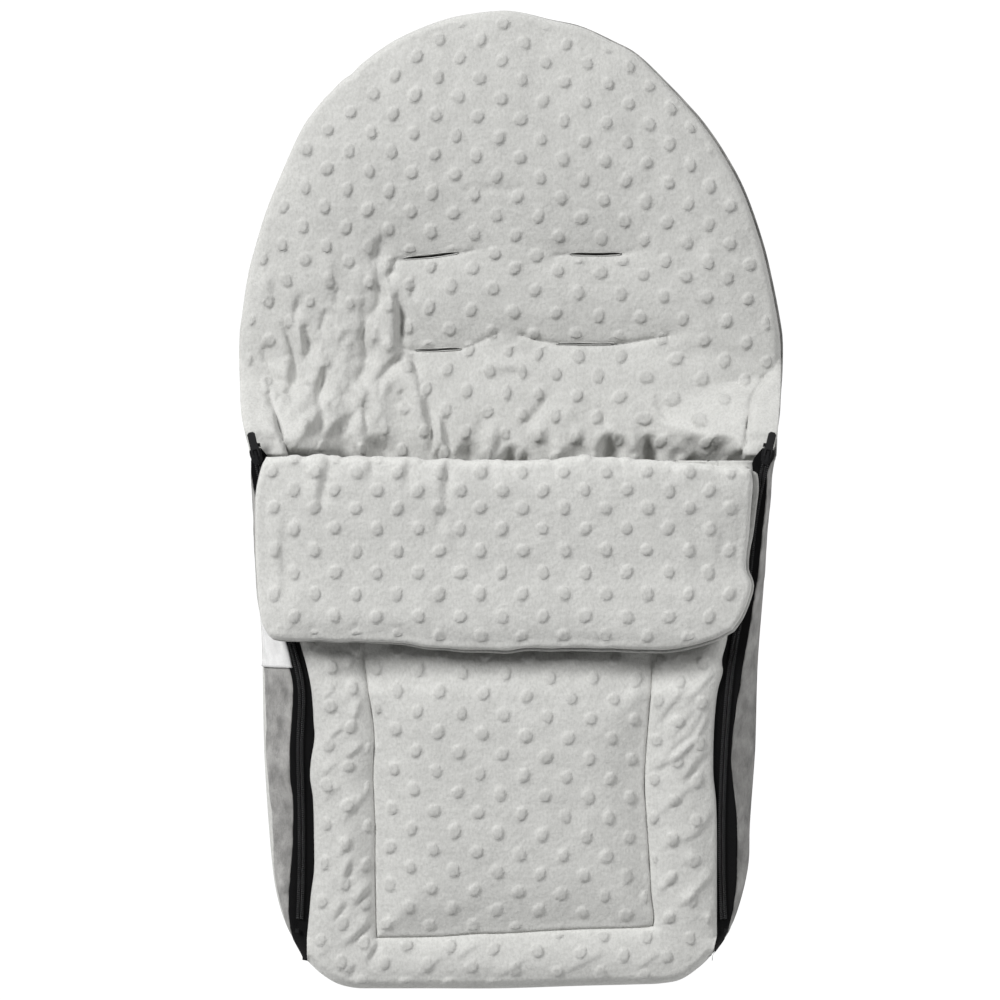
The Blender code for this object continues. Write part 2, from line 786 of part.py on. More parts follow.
def foot_round(u):
    """Half the apron's thickness where its foot end rounds about the foot seam."""
    return APRON_HALF * swell((u + APRON_HALF) / APRON_HALF)


def apron_swell(x, u):
    """Half the apron's thickness, without its seam channel."""
    inset = apron_x(u) - abs(x)
    side = blend(APRON_EDGE_HALF, APRON_HALF, swell(inset / APRON_SIDE_RUN))
    return min(side, foot_round(u))


def channel(x, u):
    """How deep the seam between border and centre panel draws the front in."""
    within = min(CENTRE_SEAM_X - abs(x), u - CENTRE_SEAM_U)
    return CHANNEL_DEPTH * math.exp(-((within / CHANNEL_RUN) ** 2))


def apron_front(x, u):
    return max(apron_swell(x, u) - channel(x, u), LINING + SHEET_GAP / 2)


def apron_front_inside(x, u):
    return max(apron_front(x, u) - LINING, SHEET_GAP / 2)


def apron_back(x, u):
    fold = blend(FOLD_EDGE_HALF, APRON_HALF, swell((FOLD_U - u) / FOLD_ROUND))
    return -max(min(apron_swell(x, u), fold), LINING + SHEET_GAP / 2)


def apron_back_inside(x, u):
    return min(apron_back(x, u) + LINING, -SHEET_GAP / 2)


def foot_rows():
    """Places up the apron as u, from its round foot end to the centre panel's seam."""
    start = APRON_HALF / 10 - APRON_HALF
    last = CENTRE_SEAM_U - GAP / 2
    return [start, start + APRON_HALF / 4, 0.0, last * 0.45, last - CHANNEL_RUN, last]


def panel_rows():
    """Places up the apron as u, from the centre panel's seam to the fold."""
    first, last = CENTRE_SEAM_U + GAP / 2, FOLD_U - GAP
    near = [first, first + CHANNEL_RUN, first + 3 * CHANNEL_RUN]
    return [*near, *steps(near[-1], last - FOLD_ROUND, 6)[1:], last - FOLD_ROUND / 3, last]


def both_sides(right):
    """Places across from places on the right, which start at the middle or at its edge."""
    return [*(-x for x in reversed(right) if x > 0), *right]


def border_x(u, share):
    """A place in the border at u, from the centre panel's seam at 0 to the apron's edge at 1."""
    seam_x = CENTRE_SEAM_X + GAP / 2
    return blend(seam_x, apron_x(u), share)


def make_apron(hinge, dimple, wadding):
    rows = [*foot_rows(), *panel_rows()]
    side = (0.0, 0.12, 0.28, 0.57, 0.72, 0.86, 0.95, 1.0)
    across_panel = (0.0, 0.4, 0.8, 1.0 - CHANNEL_RUN / CENTRE_SEAM_X)

    def border_across(u):
        inner = [CENTRE_SEAM_X * share for share in across_panel]
        return both_sides([*inner, *(border_x(u, share) for share in side)])

    def in_border(i, j):
        width = len(side) - 1
        cells = 2 * (width + len(across_panel))
        return i < len(foot_rows()) - 1 or j < width or j >= cells - width

    grid_layer(
        "apron_border", rows, border_across, apron_front, apron_front_inside, dimple, hinge, in_border
    )

    def panel_across(u):
        inner = [CENTRE_SEAM_X * share for share in across_panel]
        return both_sides([*inner, CENTRE_SEAM_X - GAP / 2])

    grid_layer(
        "apron_centre_panel",
        panel_rows(),
        panel_across,
        apron_front,
        apron_front_inside,
        dimple,
        hinge,
    )

    def lining_across(u):
        return both_sides([0.0, *(border_x(u, share) for share in (0.0, *side[3:]))])

    plain = [u for u in rows if abs(u - CENTRE_SEAM_U) > GAP]
    grid_layer(
        "apron_lining", plain, lining_across, apron_back_inside, apron_back, dimple, hinge
    )

    def padding_across(u):
        inner = [CENTRE_SEAM_X * share for share in across_panel]
        return both_sides([*inner, *(border_x(u, share) for share in side[:-2])])

    def padding_front(x, u):
        return apron_front_inside(x, u) - GAP

    def padding_back(x, u):
        return apron_back_inside(x, u) + GAP

    stuffed = [u for u in rows if -GAP < u < FOLD_U - FOLD_ROUND]
    grid_layer(
        "apron_padding", stuffed, padding_across, padding_front, padding_back, wadding, hinge
    )


# Cuff


def cuff_x(s):
    """Half the cuff's width at s from the fold, with round lower corners."""
    into_corner = s - CUFF_LENGTH + CUFF_CORNER
    if into_corner <= 0:
        return CUFF_WIDTH / 2
    return CUFF_WIDTH / 2 - CUFF_CORNER + math.sqrt(CUFF_CORNER**2 - into_corner**2)


def cuff_top(x, y):
    s = -y
    side = swell((cuff_x(s) - abs(x)) / CUFF_RUN)
    hem = swell((CUFF_LENGTH - s) / CUFF_RUN)
    fold = 0.35 + 0.65 * swell(s / FOLD_ROUND)
    return blend(CUFF_RIM, CUFF_HEIGHT, min(side, hem)) * fold


def cuff_lining_under(x, y):
    return max(cuff_top(x, y) - LINING, CUFF_OUTER + 2 * GAP)


def cuff_outer_top(x, y):
    return CUFF_OUTER + GAP


def cuff_rows(first, last):
    """Places down the cuff as y in its own frame, from the fold to its hem."""
    near = [first, FOLD_ROUND / 3, FOLD_ROUND]
    far = [last - CUFF_RUN, last - CUFF_RUN / 3, last - CUFF_RUN / 12, last]
    return [-s for s in (*near, *steps(near[-1], far[0], 3)[1:-1], *far)]


def make_cuff(fold, dimple, fleece, wadding):
    shares = (-1.0, -0.99, -0.96, -0.88, -0.45, 0.0, 0.45, 0.88, 0.96, 0.99, 1.0)
    rows = cuff_rows(GAP, CUFF_LENGTH)

    def across(y):
        return [cuff_x(-y) * share for share in shares]

    def floor(x, y):
        return GAP

    grid_layer("cuff_lining", rows, across, cuff_top, cuff_lining_under, dimple, fold)
    grid_layer("cuff_outer", rows, across, cuff_outer_top, floor, fleece, fold)

    def padding_across(y):
        return across(y)[2:-2]

    def padding_over(x, y):
        return cuff_lining_under(x, y) - GAP

    def padding_floor(x, y):
        return CUFF_OUTER + 2 * GAP

    grid_layer(
        "cuff_padding", rows[1:-2], padding_across, padding_over, padding_floor, wadding, fold
    )


def build():
    for existing in list(bpy.data.objects):
        bpy.data.objects.remove(existing, do_unlink=True)

    dimple = material("dimple_fleece", (0.68, 0.68, 0.66), 0.95)
    fleece = material("plain_grey_fleece", (0.36, 0.36, 0.35), 0.95)
    wadding = material("polyester_wadding", (0.85, 0.85, 0.85), 1.0)
    ribbon = material("slot_binding", (0.70, 0.70, 0.68), 0.7)
    satin = material("white_satin", (0.80, 0.80, 0.80), 0.45)
    tape = material("black_zip_tape", (0.010, 0.010, 0.011), 0.8)
    nylon = material("black_nylon_coil", (0.012, 0.012, 0.013), 0.45)
    metal = material("black_enamelled_metal", (0.015, 0.015, 0.016), 0.4, 0.6)
    coated = material("black_rubber_tab", (0.014, 0.014, 0.015), 0.55)

    make_back(fleece, dimple, wadding, ribbon)

    tilt = (APRON_ANGLE, 0.0, 0.0)
    zip_plane = add_empty("zip_plane", (0.0, HINGE_Y, HINGE_Z), tilt)
    apron_hinge = add_empty("apron_hinge", (0.0, HINGE_Y, HINGE_Z), tilt)
    cuff_fold = add_empty("cuff_fold", (0.0, FOLD_U, FOLD_V), parent=apron_hinge)

    make_apron(apron_hinge, dimple, wadding)
    make_cuff(cuff_fold, dimple, fleece, wadding)
    for side, sign in SIDES.items():
        make_wall(side, sign, fleece, dimple, wadding)
        make_zip(side, sign, (zip_plane, apron_hinge), tape, nylon, metal)
        centre = (sign * ZIP_CENTRE_X, ZIP_WAIST_U, 0.0)
        track = add_empty(f"zip_slider_axis_{side}", centre, parent=zip_plane)
        make_slider(side, sign, track, metal, coated)
    make_label(satin)


build()
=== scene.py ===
import math

import bmesh
import bpy
import numpy as np
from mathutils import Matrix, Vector


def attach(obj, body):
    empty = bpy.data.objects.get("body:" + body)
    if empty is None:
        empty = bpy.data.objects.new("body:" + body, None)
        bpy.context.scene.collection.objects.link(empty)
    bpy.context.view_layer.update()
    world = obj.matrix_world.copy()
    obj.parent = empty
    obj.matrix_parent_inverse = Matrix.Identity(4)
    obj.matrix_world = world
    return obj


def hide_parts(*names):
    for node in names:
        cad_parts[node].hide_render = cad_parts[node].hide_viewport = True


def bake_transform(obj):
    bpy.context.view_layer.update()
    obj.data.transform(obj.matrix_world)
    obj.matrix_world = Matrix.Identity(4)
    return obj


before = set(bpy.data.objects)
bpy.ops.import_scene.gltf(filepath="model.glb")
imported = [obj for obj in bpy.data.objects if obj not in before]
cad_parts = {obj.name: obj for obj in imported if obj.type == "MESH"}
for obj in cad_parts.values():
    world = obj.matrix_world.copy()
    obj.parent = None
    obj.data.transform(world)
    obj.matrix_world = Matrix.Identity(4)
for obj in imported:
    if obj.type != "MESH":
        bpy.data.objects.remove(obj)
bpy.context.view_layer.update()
scene = bpy.context.scene

# The camera looks straight down on a picture of 1000 x 1000 pixels. PIXEL is a pixel's side on
# the level FOCUS above the floor, and at() turns places in the picture into plan places.
CAMERA = np.array((-0.00943, 0.0, 4.0))
PIXEL = 0.00082
FOCUS = 0.015

# The apron's frame, as in the CAD: u up the apron from its hinge, v out of it
TILT = math.radians(7.5)
COS, SIN = math.cos(TILT), math.sin(TILT)
HINGE_Y, HINGE_Z = -0.388, 0.0168
FOLD_U, FOLD_V = 0.427659, 0.0083

# Heights of what the picture's places lie on
SLOT_Z, HOOD_Z, MOUTH_Z, APRON_Z = 0.02, 0.022, 0.03, 0.05


def ease(t):
    """A smooth step from 0 to 1."""
    t = np.clip(t, 0, 1)
    return t * t * (3 - 2 * t)


def fade(t):
    """A smooth step from 1 to 0."""
    return 1 - ease(t)


def swell(t):
    """A quarter of a circle from 0 to 1, steep at first."""
    return np.sqrt(1 - (1 - np.clip(t, 0, 1)) ** 2)


def bump(x, centre, width):
    return np.exp(-(((x - centre) / width) ** 2))


def pixel_at(z):
    """The side of a pixel at height z."""
    return PIXEL * (CAMERA[2] - z) / (CAMERA[2] - FOCUS)


def at(points, z):
    """Plan places, in metres, of picture places that lie at height z."""
    points = np.asarray(points, float)
    scale = pixel_at(z)
    return np.stack([CAMERA[0] + (points[..., 0] - 500) * scale, (500 - points[..., 1]) * scale], -1)


def plane_z(y, v):
    """Height at y of the level v out of the apron's frame."""
    return HINGE_Z + (y - HINGE_Y) * math.tan(TILT) + v / COS


def raised(u, v):
    """(y, z) of u and v in the apron's frame."""
    return HINGE_Y + u * COS - v * SIN, HINGE_Z + u * SIN + v * COS


def on_apron(points, v=0.006):
    """Plan places of picture places that lie on the apron, v above its middle."""
    points = np.asarray(points, float)
    return at(points, plane_z((500 - points[..., 1]) * 0.00081, v))


def hashed(i, j, seed):
    value = np.sin(i * 127.1 + j * 311.7 + seed * 74.7) * 43758.5453
    return value - np.floor(value)


def noise(x, y, seed):
    """Smooth noise from -1 to 1, one swell to a unit."""
    i, j = np.floor(x), np.floor(y)
    s, t = ease(x - i), ease(y - j)
    low = hashed(i, j, seed) * (1 - s) + hashed(i + 1, j, seed) * s
    high = hashed(i, j + 1, seed) * (1 - s) + hashed(i + 1, j + 1, seed) * s
    return 2 * (low * (1 - t) + high * t) - 1


def rough(x, y, size, seed):
    """Noise in swells of this size, and in weaker ones of about half of it."""
    x, y = x / size, y / size
    return noise(x, y, seed) + 0.5 * noise(x * 2.1 + 7, y * 2.1, seed + 1)


def between(wanted, places, line):
    """A line at the wanted places, from the places of its points."""
    return np.stack([np.interp(wanted, places, column) for column in line.T], -1)


def smooth_line(points, step=0.004):
    """A smooth line through the points, as evenly spaced points."""
    points = np.asarray(points, float)
    padded = np.vstack([2 * points[0] - points[1], points, 2 * points[-1] - points[-2]])
    t = np.linspace(0, 1, 13)[:-1, None]
    parts = []
    for a, b, c, d in zip(padded[:-3], padded[1:-2], padded[2:-1], padded[3:]):
        curve = 2 * b + (c - a) * t + (2 * a - 5 * b + 4 * c - d) * t**2
        parts.append(0.5 * (curve + (3 * b - a - 3 * c + d) * t**3))
    line = np.vstack(parts + [points[-1:]])
    steps = np.linalg.norm(np.diff(line, axis=0), axis=1)
    length = np.concatenate([[0], np.cumsum(steps)])
    even = np.linspace(0, length[-1], max(3, int(length[-1] / step) + 1))
    return between(even, length, line)


def along(line, shares):
    """Points at these shares of an evenly spaced line's length."""
    return between(shares, np.linspace(0, 1, len(line)), line)


def straight(a, b):
    return np.linspace(a, b, 12)


def coons(bottom, top, left, right, u, v):
    """Plan grid between four evenly spaced lines, at shares u across and v up."""
    b, t, l, r = along(bottom, u), along(top, u), along(left, v), along(right, v)
    u, v = u[None, :, None], v[:, None, None]
    grid = (1 - v) * b[None] + v * t[None] + (1 - u) * l[:, None] + u * r[:, None]
    grid = grid - (1 - u) * (1 - v) * b[0] - u * (1 - v) * b[-1]
    return grid - (1 - u) * v * t[0] - u * v * t[-1]


def shares(length, step, dense_start=0.0, dense_end=0.0, fine=0.0008, close=(0, 0)):
    """Shares 0 to 1 of a length, a step apart. They are as close as fine at an end with a rolled
    edge, over dense_start or dense_end, and a little closer between the two places close."""
    places = [0.0]
    while places[-1] < length:
        start = places[-1] / dense_start if dense_start else 1
        end = (length - places[-1]) / dense_end if dense_end else 1
        wide = step * (0.6 if close[0] < places[-1] < close[1] else 1)
        places.append(places[-1] + fine + (wide - fine) * max(min(start, end, 1), 0))
    return np.array(places) / places[-1]


def gaps(xy, line):
    """To each straight bit of a line: the plan points' shares along it, and their gaps to it."""
    for a, b in zip(line[:-1], line[1:]):
        way = b - a
        t = np.clip(((xy - a) @ way) / max(way @ way, 1e-12), 0, 1)
        yield t, xy - a - t[..., None] * way


def distance(xy, *lines):
    """Distance from each plan point to the nearest of the lines of points."""
    best = np.full(xy.shape[:-1], np.inf)
    for line in lines:
        for _, gap in gaps(xy, line):
            best = np.minimum(best, (gap**2).sum(-1))
    return np.sqrt(best)


def nearest(xy, line):
    """How far each plan point is from a line, which way in x, and at which share of it."""
    best = np.full(xy.shape[:-1], np.inf)
    side, share = np.zeros_like(best), np.zeros_like(best)
    for k, (t, gap) in enumerate(gaps(xy, line)):
        far = (gap**2).sum(-1)
        closer = far < best
        best[closer], side[closer] = far[closer], gap[closer][..., 0]
        share[closer] = (k + t[closer]) / (len(line) - 1)
    return np.sqrt(best), side, share


def unit(vectors):
    return vectors / np.maximum(np.linalg.norm(vectors, axis=-1, keepdims=True), 1e-12)


def normals(grid):
    return unit(np.cross(np.gradient(grid, axis=1), np.gradient(grid, axis=0)))


def leftward(line):
    """Unit directions to the left of a line's way."""
    way = unit(np.gradient(line, axis=0))
    return np.stack([-way[:, 1], way[:, 0]], -1)


# Dots and folds of the fleece

DOT_RADIUS = 0.0071
DOT_HEIGHT = 0.0015
DOT_STRAY = 0.0012


def lattice(dot, pitch, rows, first, slope, z):
    """Where fleece dots lie, from the picture: the place of a dot in an even row, the pitch of
    dots in a row, the rows' places down the picture, the first one's number and their slope."""
    spots = at([dot] + [(dot[0], row) for row in rows], z)
    return (*spots[0], pitch * pixel_at(z), spots[:0:-1, 1], first + len(rows) - 1, slope)


def dots(x, y, where, height=DOT_HEIGHT):
    """Height of the fleece's raised dots at (x, y), and how near a dot's middle it is."""
    x0, y0, pitch, rows, last, slope = where
    a, b = x - x0 - slope * (y - y0), y + slope * (x - x0)
    numbers = np.arange(len(rows))
    n = np.round(np.interp(b, rows, numbers))
    b = b - np.interp(n, numbers, rows)
    n = last - n
    half = 0.5 * (n % 2)
    k = np.round(a / pitch - half)
    a = a - (k + half) * pitch - DOT_STRAY * (hashed(k, n, 3) - 0.5)
    b = b - DOT_STRAY * (hashed(k, n, 4) - 0.5)
    radius = DOT_RADIUS * (0.92 + 0.16 * hashed(k, n, 5))
    skew = 1 + 0.08 * np.cos(2 * np.arctan2(b, a) + 6.3 * hashed(k, n, 7))
    rho = np.hypot(a * 1.12, b * 0.97) * skew / radius
    high = height * (0.75 + 0.4 * hashed(k, n, 6)) * fade((rho - 0.42) / 0.58)
    return high, np.maximum(1.7 - rho, 0)


def ridges(xy, lines, z):
    """Height of ridges, or of dents where it is below 0, along lines in the picture. Each has
    its height and width in mm, then its points. It is steeper where it falls to the right."""
    total = np.zeros(xy.shape[:-1])
    for height, width, *points in lines:
        line = smooth_line(at(points, z), 0.005)
        low, high = line.min(0) - 0.004 * width, line.max(0) + 0.004 * width
        rows, columns = np.nonzero(((xy > low) & (xy < high)).all(-1))
        if not len(rows):
            continue
        part = slice(rows.min(), rows.max() + 1), slice(columns.min(), columns.max() + 1)
        gap, side, share = nearest(xy[part], line)
        wide = width * 0.001 * np.where((side > 0) == (height > 0), 0.95, 1.5)
        long = ease((np.linalg.norm(line[-1] - line[0]) - 0.006) / 0.012)
        taper = 1 - long * (1 - np.sin(math.pi * (0.1 + 0.8 * share)) ** 0.8)
        total[part] += height * 0.001 * taper * bump(gap, 0, wide)
    return total


def pleats(xy, folds, z, width, steep):
    """Height of short folds. Each has its ends in the picture, its height in mm and a factor of
    its width: a round ridge left of the way between its ends, steep on the right of it."""
    total = np.zeros(xy.shape[:-1])
    for x0, y0, x1, y1, height, factor in folds:
        a, b = at([(x0, y0), (x1, y1)], z)
        length = math.hypot(*(b - a))
        way = (b - a) / length
        t = (xy - a) @ way / length
        side = (xy - a) @ np.array([-way[1], way[0]])
        bow = side + 0.10 * length * (1 - (2 * t - 1) ** 2) * (length > 0.03)
        window = ease((t + 0.35) / 0.6) * ease((1.35 - t) / 0.6)
        rise = ease((bow + steep * 0.5) / steep)
        total += height * 0.001 * window * rise * bump(np.maximum(bow, 0), 0, width * factor)
    return total


# Meshes


def placed(name, mesh, body, material):
    """The object of a mesh: smooth, with its material, and on its body."""
    mesh.polygons.foreach_set("use_smooth", np.ones(len(mesh.polygons), bool))
    obj = bpy.data.objects.new(name, mesh)
    scene.collection.objects.link(obj)
    mesh.materials.append(material)
    if body:
        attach(obj, body)
    return obj


def make(name, points, faces, body, material, turn=False):
    """A mesh object, from arrays of points and of four-cornered faces."""
    mesh = bpy.data.meshes.new(name)
    faces = np.asarray(faces, np.int32)
    if turn:
        faces = faces[:, ::-1]
    mesh.vertices.add(len(points))
    mesh.vertices.foreach_set("co", np.asarray(points, np.float32).ravel())
    mesh.loops.add(faces.size)
    mesh.loops.foreach_set("vertex_index", faces.ravel())
    mesh.polygons.add(len(faces))
    starts = np.arange(0, faces.size, faces.shape[1], dtype=np.int32)
    mesh.polygons.foreach_set("loop_start", starts)
    mesh.update(calc_edges=True)
    mesh.validate()
    return placed(name, mesh, body, material)


def grid_faces(rows, columns, first=0):
    """Faces of a grid of points that are numbered from first."""
    index = first + np.arange(rows * columns).reshape(rows, columns)
    corners = [index[:-1, :-1], index[:-1, 1:], index[1:, 1:], index[1:, :-1]]
    return np.stack(corners, -1).reshape(-1, 4)


def welded(pairs, keys=None):
    """(points, faces, index arrays) of the closed solid between top and under grids. Pairs share
    the vertices where their keys, or else their tops, meet."""
    width = pairs[0][0].shape[-1]
    tops = np.vstack([top.reshape(-1, width) for top, _ in pairs])
    unders = np.vstack([under.reshape(-1, width) for _, under in pairs])
    places = tops if keys is None else np.vstack([k.reshape(-1, 2) for k in keys])
    places = np.round(places, 6)
    _, index, shared = np.unique(places, axis=0, return_inverse=True, return_counts=True)
    index = index.reshape(-1)
    count = len(shared)
    mean_top, mean_under = np.zeros((2, count, width))
    np.add.at(mean_top, index, tops)
    np.add.at(mean_under, index, unders)
    faces, maps, start = [], [], 0
    for top, _ in pairs:
        rows, columns = top.shape[:2]
        maps.append(index[start : start + rows * columns].reshape(rows, columns))
        faces.append(index[grid_faces(rows, columns, start)])
        start += rows * columns
    faces = np.vstack(faces)
    # the rim's edges belong to one face only
    ends = np.concatenate([faces[:, [k, (k + 1) % 4]] for k in range(4)])
    edges = np.sort(ends, axis=1)
    _, inverse, seen = np.unique(edges, axis=0, return_inverse=True, return_counts=True)
    rim = ends[seen[inverse.reshape(-1)] == 1]
    sides = np.stack([rim[:, 1], rim[:, 0], rim[:, 0] + count, rim[:, 1] + count], -1)
    points = np.vstack([mean_top, mean_under]) / np.tile(shared, 2)[:, None]
    return points, np.vstack([faces, faces[:, ::-1] + count, sides]), maps


def solid(name, pairs, body, material, turn=False, keys=None, near=()):
    """A closed solid. near has a grid to each pair, for the material: how near a dot's middle
    the places of its top are."""
    if near:
        pairs = [
            (np.dstack([top, k]), np.dstack([under, 0 * k])) for (top, under), k in zip(pairs, near)
        ]
    points, faces, _ = welded(pairs, keys)
    obj = make(name, points[:, :3], faces, body, material, turn)
    if near:
        layer = obj.data.attributes.new("dot_near", "FLOAT", "POINT")
        layer.data.foreach_set("value", points[:, 3].astype(np.float32))
    return obj


def loft(name, rings, body, material):
    """A closed solid through rings of points, with its ends closed."""
    rings = np.asarray(rings, float)
    count, size = rings.shape[:2]
    index = np.arange(count * size).reshape(count, size)
    around = np.roll(index, -1, axis=1)
    faces = np.stack([index[:-1], around[:-1], around[1:], index[1:]], -1).reshape(-1, 4)
    points = np.vstack([rings.reshape(-1, 3), rings[0].mean(0)[None], rings[-1].mean(0)[None]])
    last = len(points) - 1
    caps = [[a, b, last - 1] for a, b in zip(around[0], index[0])]
    caps += [[a, b, last] for a, b in zip(index[-1], around[-1])]
    mesh = bpy.data.meshes.new(name)
    mesh.from_pydata(points.tolist(), [], faces.tolist() + caps)
    bm = bmesh.new()
    bm.from_mesh(mesh)
    bmesh.ops.recalc_face_normals(bm, faces=bm.faces)
    bm.to_mesh(mesh)
    bm.free()
    return placed(name, mesh, body, material)


CLOTH_STIFFNESS = 12
CLOTH_FRAMES = 20


def puffed(pairs, held, cut, pressure, cap):
    """The top grids of a pad after its cloth has swelled, by no more than cap. held is 1 where a
    seam or the underside keeps the cloth. cut is the cloth's own, larger shape, which makes it
    gather. Both are lists of grids, one to each pair."""
    points, faces, maps = welded(pairs)
    count = len(points) // 2
    obj = make("cloth", points, faces, None, bare)
    weights, shape = np.ones(count), points.copy()
    for index, hold, rest in zip(maps, held, cut):
        weights[index] = hold
        shape[index] = rest
    group = obj.vertex_groups.new(name="held")
    for level in range(1, 11):
        chosen = np.flatnonzero(np.round(weights * 10) == level)
        group.add([int(i) for i in chosen], level / 10, "REPLACE")
    group.add(list(range(count, 2 * count)), 1, "REPLACE")
    obj.shape_key_add(name="Basis")
    key = obj.shape_key_add(name="cut")
    key.data.foreach_set("co", shape.astype(np.float32).ravel())
    cloth = obj.modifiers.new("cloth", "CLOTH")
    settings = cloth.settings
    settings.quality = 7
    settings.mass = 0.12
    settings.air_damping = 3
    settings.tension_stiffness = settings.compression_stiffness = CLOTH_STIFFNESS
    settings.shear_stiffness = CLOTH_STIFFNESS / 4
    settings.bending_stiffness = 0.25
    settings.use_pressure = True
    settings.uniform_pressure_force = pressure
    settings.effector_weights.gravity = 0
    settings.vertex_group_mass = "held"
    settings.rest_shape_key = key
    cloth.point_cache.frame_start, cloth.point_cache.frame_end = 1, CLOTH_FRAMES
    for step in range(1, CLOTH_FRAMES + 1):
        scene.frame_set(step)
    shown = obj.evaluated_get(bpy.context.evaluated_depsgraph_get())
    out = np.empty(len(points) * 3, np.float32)
    shown.data.vertices.foreach_get("co", out)
    scene.frame_set(1)
    bpy.data.objects.remove(obj)
    moved = out.reshape(-1, 3).astype(float) - points
    far = np.linalg.norm(moved, axis=1, keepdims=True)
    moved *= np.tanh(far / cap) * cap / np.maximum(far, 1e-9)
    return [points[index] + moved[index] for index in maps]


def weights_at(places, count):
    """Cubic B-spline weights that carry even stations to shares 0 to 1."""
    t = np.clip(places, 0, 1) * (count - 1)
    k = np.clip(np.floor(t).astype(int), 0, count - 2)
    f = t - k
    parts = (
        (1 - f) ** 3 / 6,
        (3 * f**3 - 6 * f**2 + 4) / 6,
        (-3 * f**3 + 3 * f**2 + 3 * f + 1) / 6,
        f**3 / 6,
    )
    matrix = np.zeros((len(places), count))
    for shift, part in zip((-1, 0, 1, 2), parts):
        np.add.at(matrix, (np.arange(len(places)), np.clip(k + shift, 0, count - 1)), part)
    return matrix


def finer(grid, u, v):
    """A coarse even grid's values at the shares u and v of a fine one."""
    rows, columns = weights_at(v, grid.shape[0]), weights_at(u, grid.shape[1])
    return np.einsum("ai,ijk,bj->abk", rows, grid, columns)


# Materials


def fill(node, **values):
    """Sets the values of a node's sockets, whose names have _ for a space here."""
    for socket, value in values.items():
        node.inputs[socket.replace("_", " ")].default_value = value
    return node


def shader(name, colour, roughness, **values):
    material = bpy.data.materials.new(name)
    material.use_nodes = True
    tree = material.node_tree
    main = tree.nodes["Principled BSDF"]
    fill(main, Base_Color=(*colour, 1), Roughness=roughness, **values)
    return material, tree, main


def placed_texture(tree, kind, stretch=(1, 1, 1), **values):
    """A texture node on the object's own coordinates."""
    place = tree.nodes.new("ShaderNodeTexCoord")
    mapping = fill(tree.nodes.new("ShaderNodeMapping"), Scale=stretch)
    node = fill(tree.nodes.new(kind), **values)
    tree.links.new(place.outputs["Object"], mapping.inputs["Vector"])
    tree.links.new(mapping.outputs["Vector"], node.inputs["Vector"])
    return node


def noise_node(tree, scale, detail, stretch=(1, 1, 1)):
    node = placed_texture(tree, "ShaderNodeTexNoise", stretch, Scale=scale, Detail=detail)
    return node.outputs["Fac"]


def ramp(tree, value, *stops):
    """A colour between two stops of (place, colour or grey)."""
    node = tree.nodes.new("ShaderNodeValToRGB")
    for element, (place, colour) in zip(node.color_ramp.elements, stops):
        element.position = place
        element.color = (*(colour if isinstance(colour, tuple) else (colour,) * 3), 1)
    tree.links.new(value, node.inputs["Fac"])
    return node.outputs["Color"]


def multiply(tree, colour, *others):
    for other in others:
        node = tree.nodes.new("ShaderNodeMix")
        node.data_type = "RGBA"
        node.blend_type = "MULTIPLY"
        node.inputs["Factor"].default_value = 1.0
        tree.links.new(colour, node.inputs["A"])
        tree.links.new(other, node.inputs["B"])
        colour = node.outputs["Result"]
    return colour


def maths(tree, operation, *values):
    """A Math node's result for outputs of other nodes, or numbers."""
    node = tree.nodes.new("ShaderNodeMath")
    node.operation = operation
    for socket, value in zip(node.inputs, values):
        if isinstance(value, float):
            socket.default_value = value
        else:
            tree.links.new(value, socket)
    return node.outputs[0]


def map_range(tree, value, **limits):
    node = fill(tree.nodes.new("ShaderNodeMapRange"), **limits)
    tree.links.new(value, node.inputs["Value"])
    return node


def bumps(tree, main, *layers):
    """Chains bump nodes from (height, distance in metres, strength)."""
    last = None
    for height, depth, strength in layers:
        node = fill(tree.nodes.new("ShaderNodeBump"), Distance=depth, Strength=strength)
        tree.links.new(height, node.inputs["Height"])
        if last:
            tree.links.new(last, node.inputs["Normal"])
        last = node.outputs["Normal"]
    tree.links.new(last, main.inputs["Normal"])


def scaled(colour, factor):
    return tuple(min(1.0, c * factor) for c in colour)


STROKES = (1, 0.6, 1)
RIM_START, RIM_END = 0.95, 1.38


def fleece(name, colour, pile=1.0, mottle=0.06, sheen=0.2):
    """Short-piled fleece: soft patches where the pile lies over, short strokes of fibres, a fuzzy
    bump and the dots' rims."""
    material, tree, main = shader(
        name, colour, 0.93, Sheen_Weight=sheen, Sheen_Roughness=0.55, Specular_IOR_Level=0.15
    )
    dark, light = scaled(colour, 1 - mottle), scaled(colour, 1 + mottle * 0.6)
    patches = ramp(tree, noise_node(tree, 55, 4), (0.3, dark), (0.7, light))
    strokes = ramp(tree, noise_node(tree, 520, 3, STROKES), (0.32, (0.87, 0.87, 0.865)), (0.62, 1.0))
    fibres = ramp(tree, noise_node(tree, 1900, 1, STROKES), (0.3, 0.92), (0.7, 1.0))
    near = tree.nodes.new("ShaderNodeAttribute")
    near.attribute_name = "dot_near"
    fuzzy = maths(tree, "MULTIPLY_ADD", noise_node(tree, 420, 3), 0.34, near.outputs["Fac"])
    rim = map_range(tree, fuzzy, From_Min=RIM_START, From_Max=RIM_END)
    rim.interpolation_type = "SMOOTHSTEP"
    # the colour is up to 9% darker towards the dots' middles
    darker_dots = ramp(tree, rim.outputs["Result"], (0, 1.0), (1, 0.91))
    cloth = multiply(tree, patches, strokes, fibres, darker_dots)
    tree.links.new(cloth, main.inputs["Base Color"])
    bumps(
        tree,
        main,
        (rim.outputs["Result"], 0.0008, 0.8),
        (noise_node(tree, 240, 4), 0.0012 * pile, 0.6),
        (noise_node(tree, 1300, 2, STROKES), 0.0003 * pile, 0.7),
    )
    return material


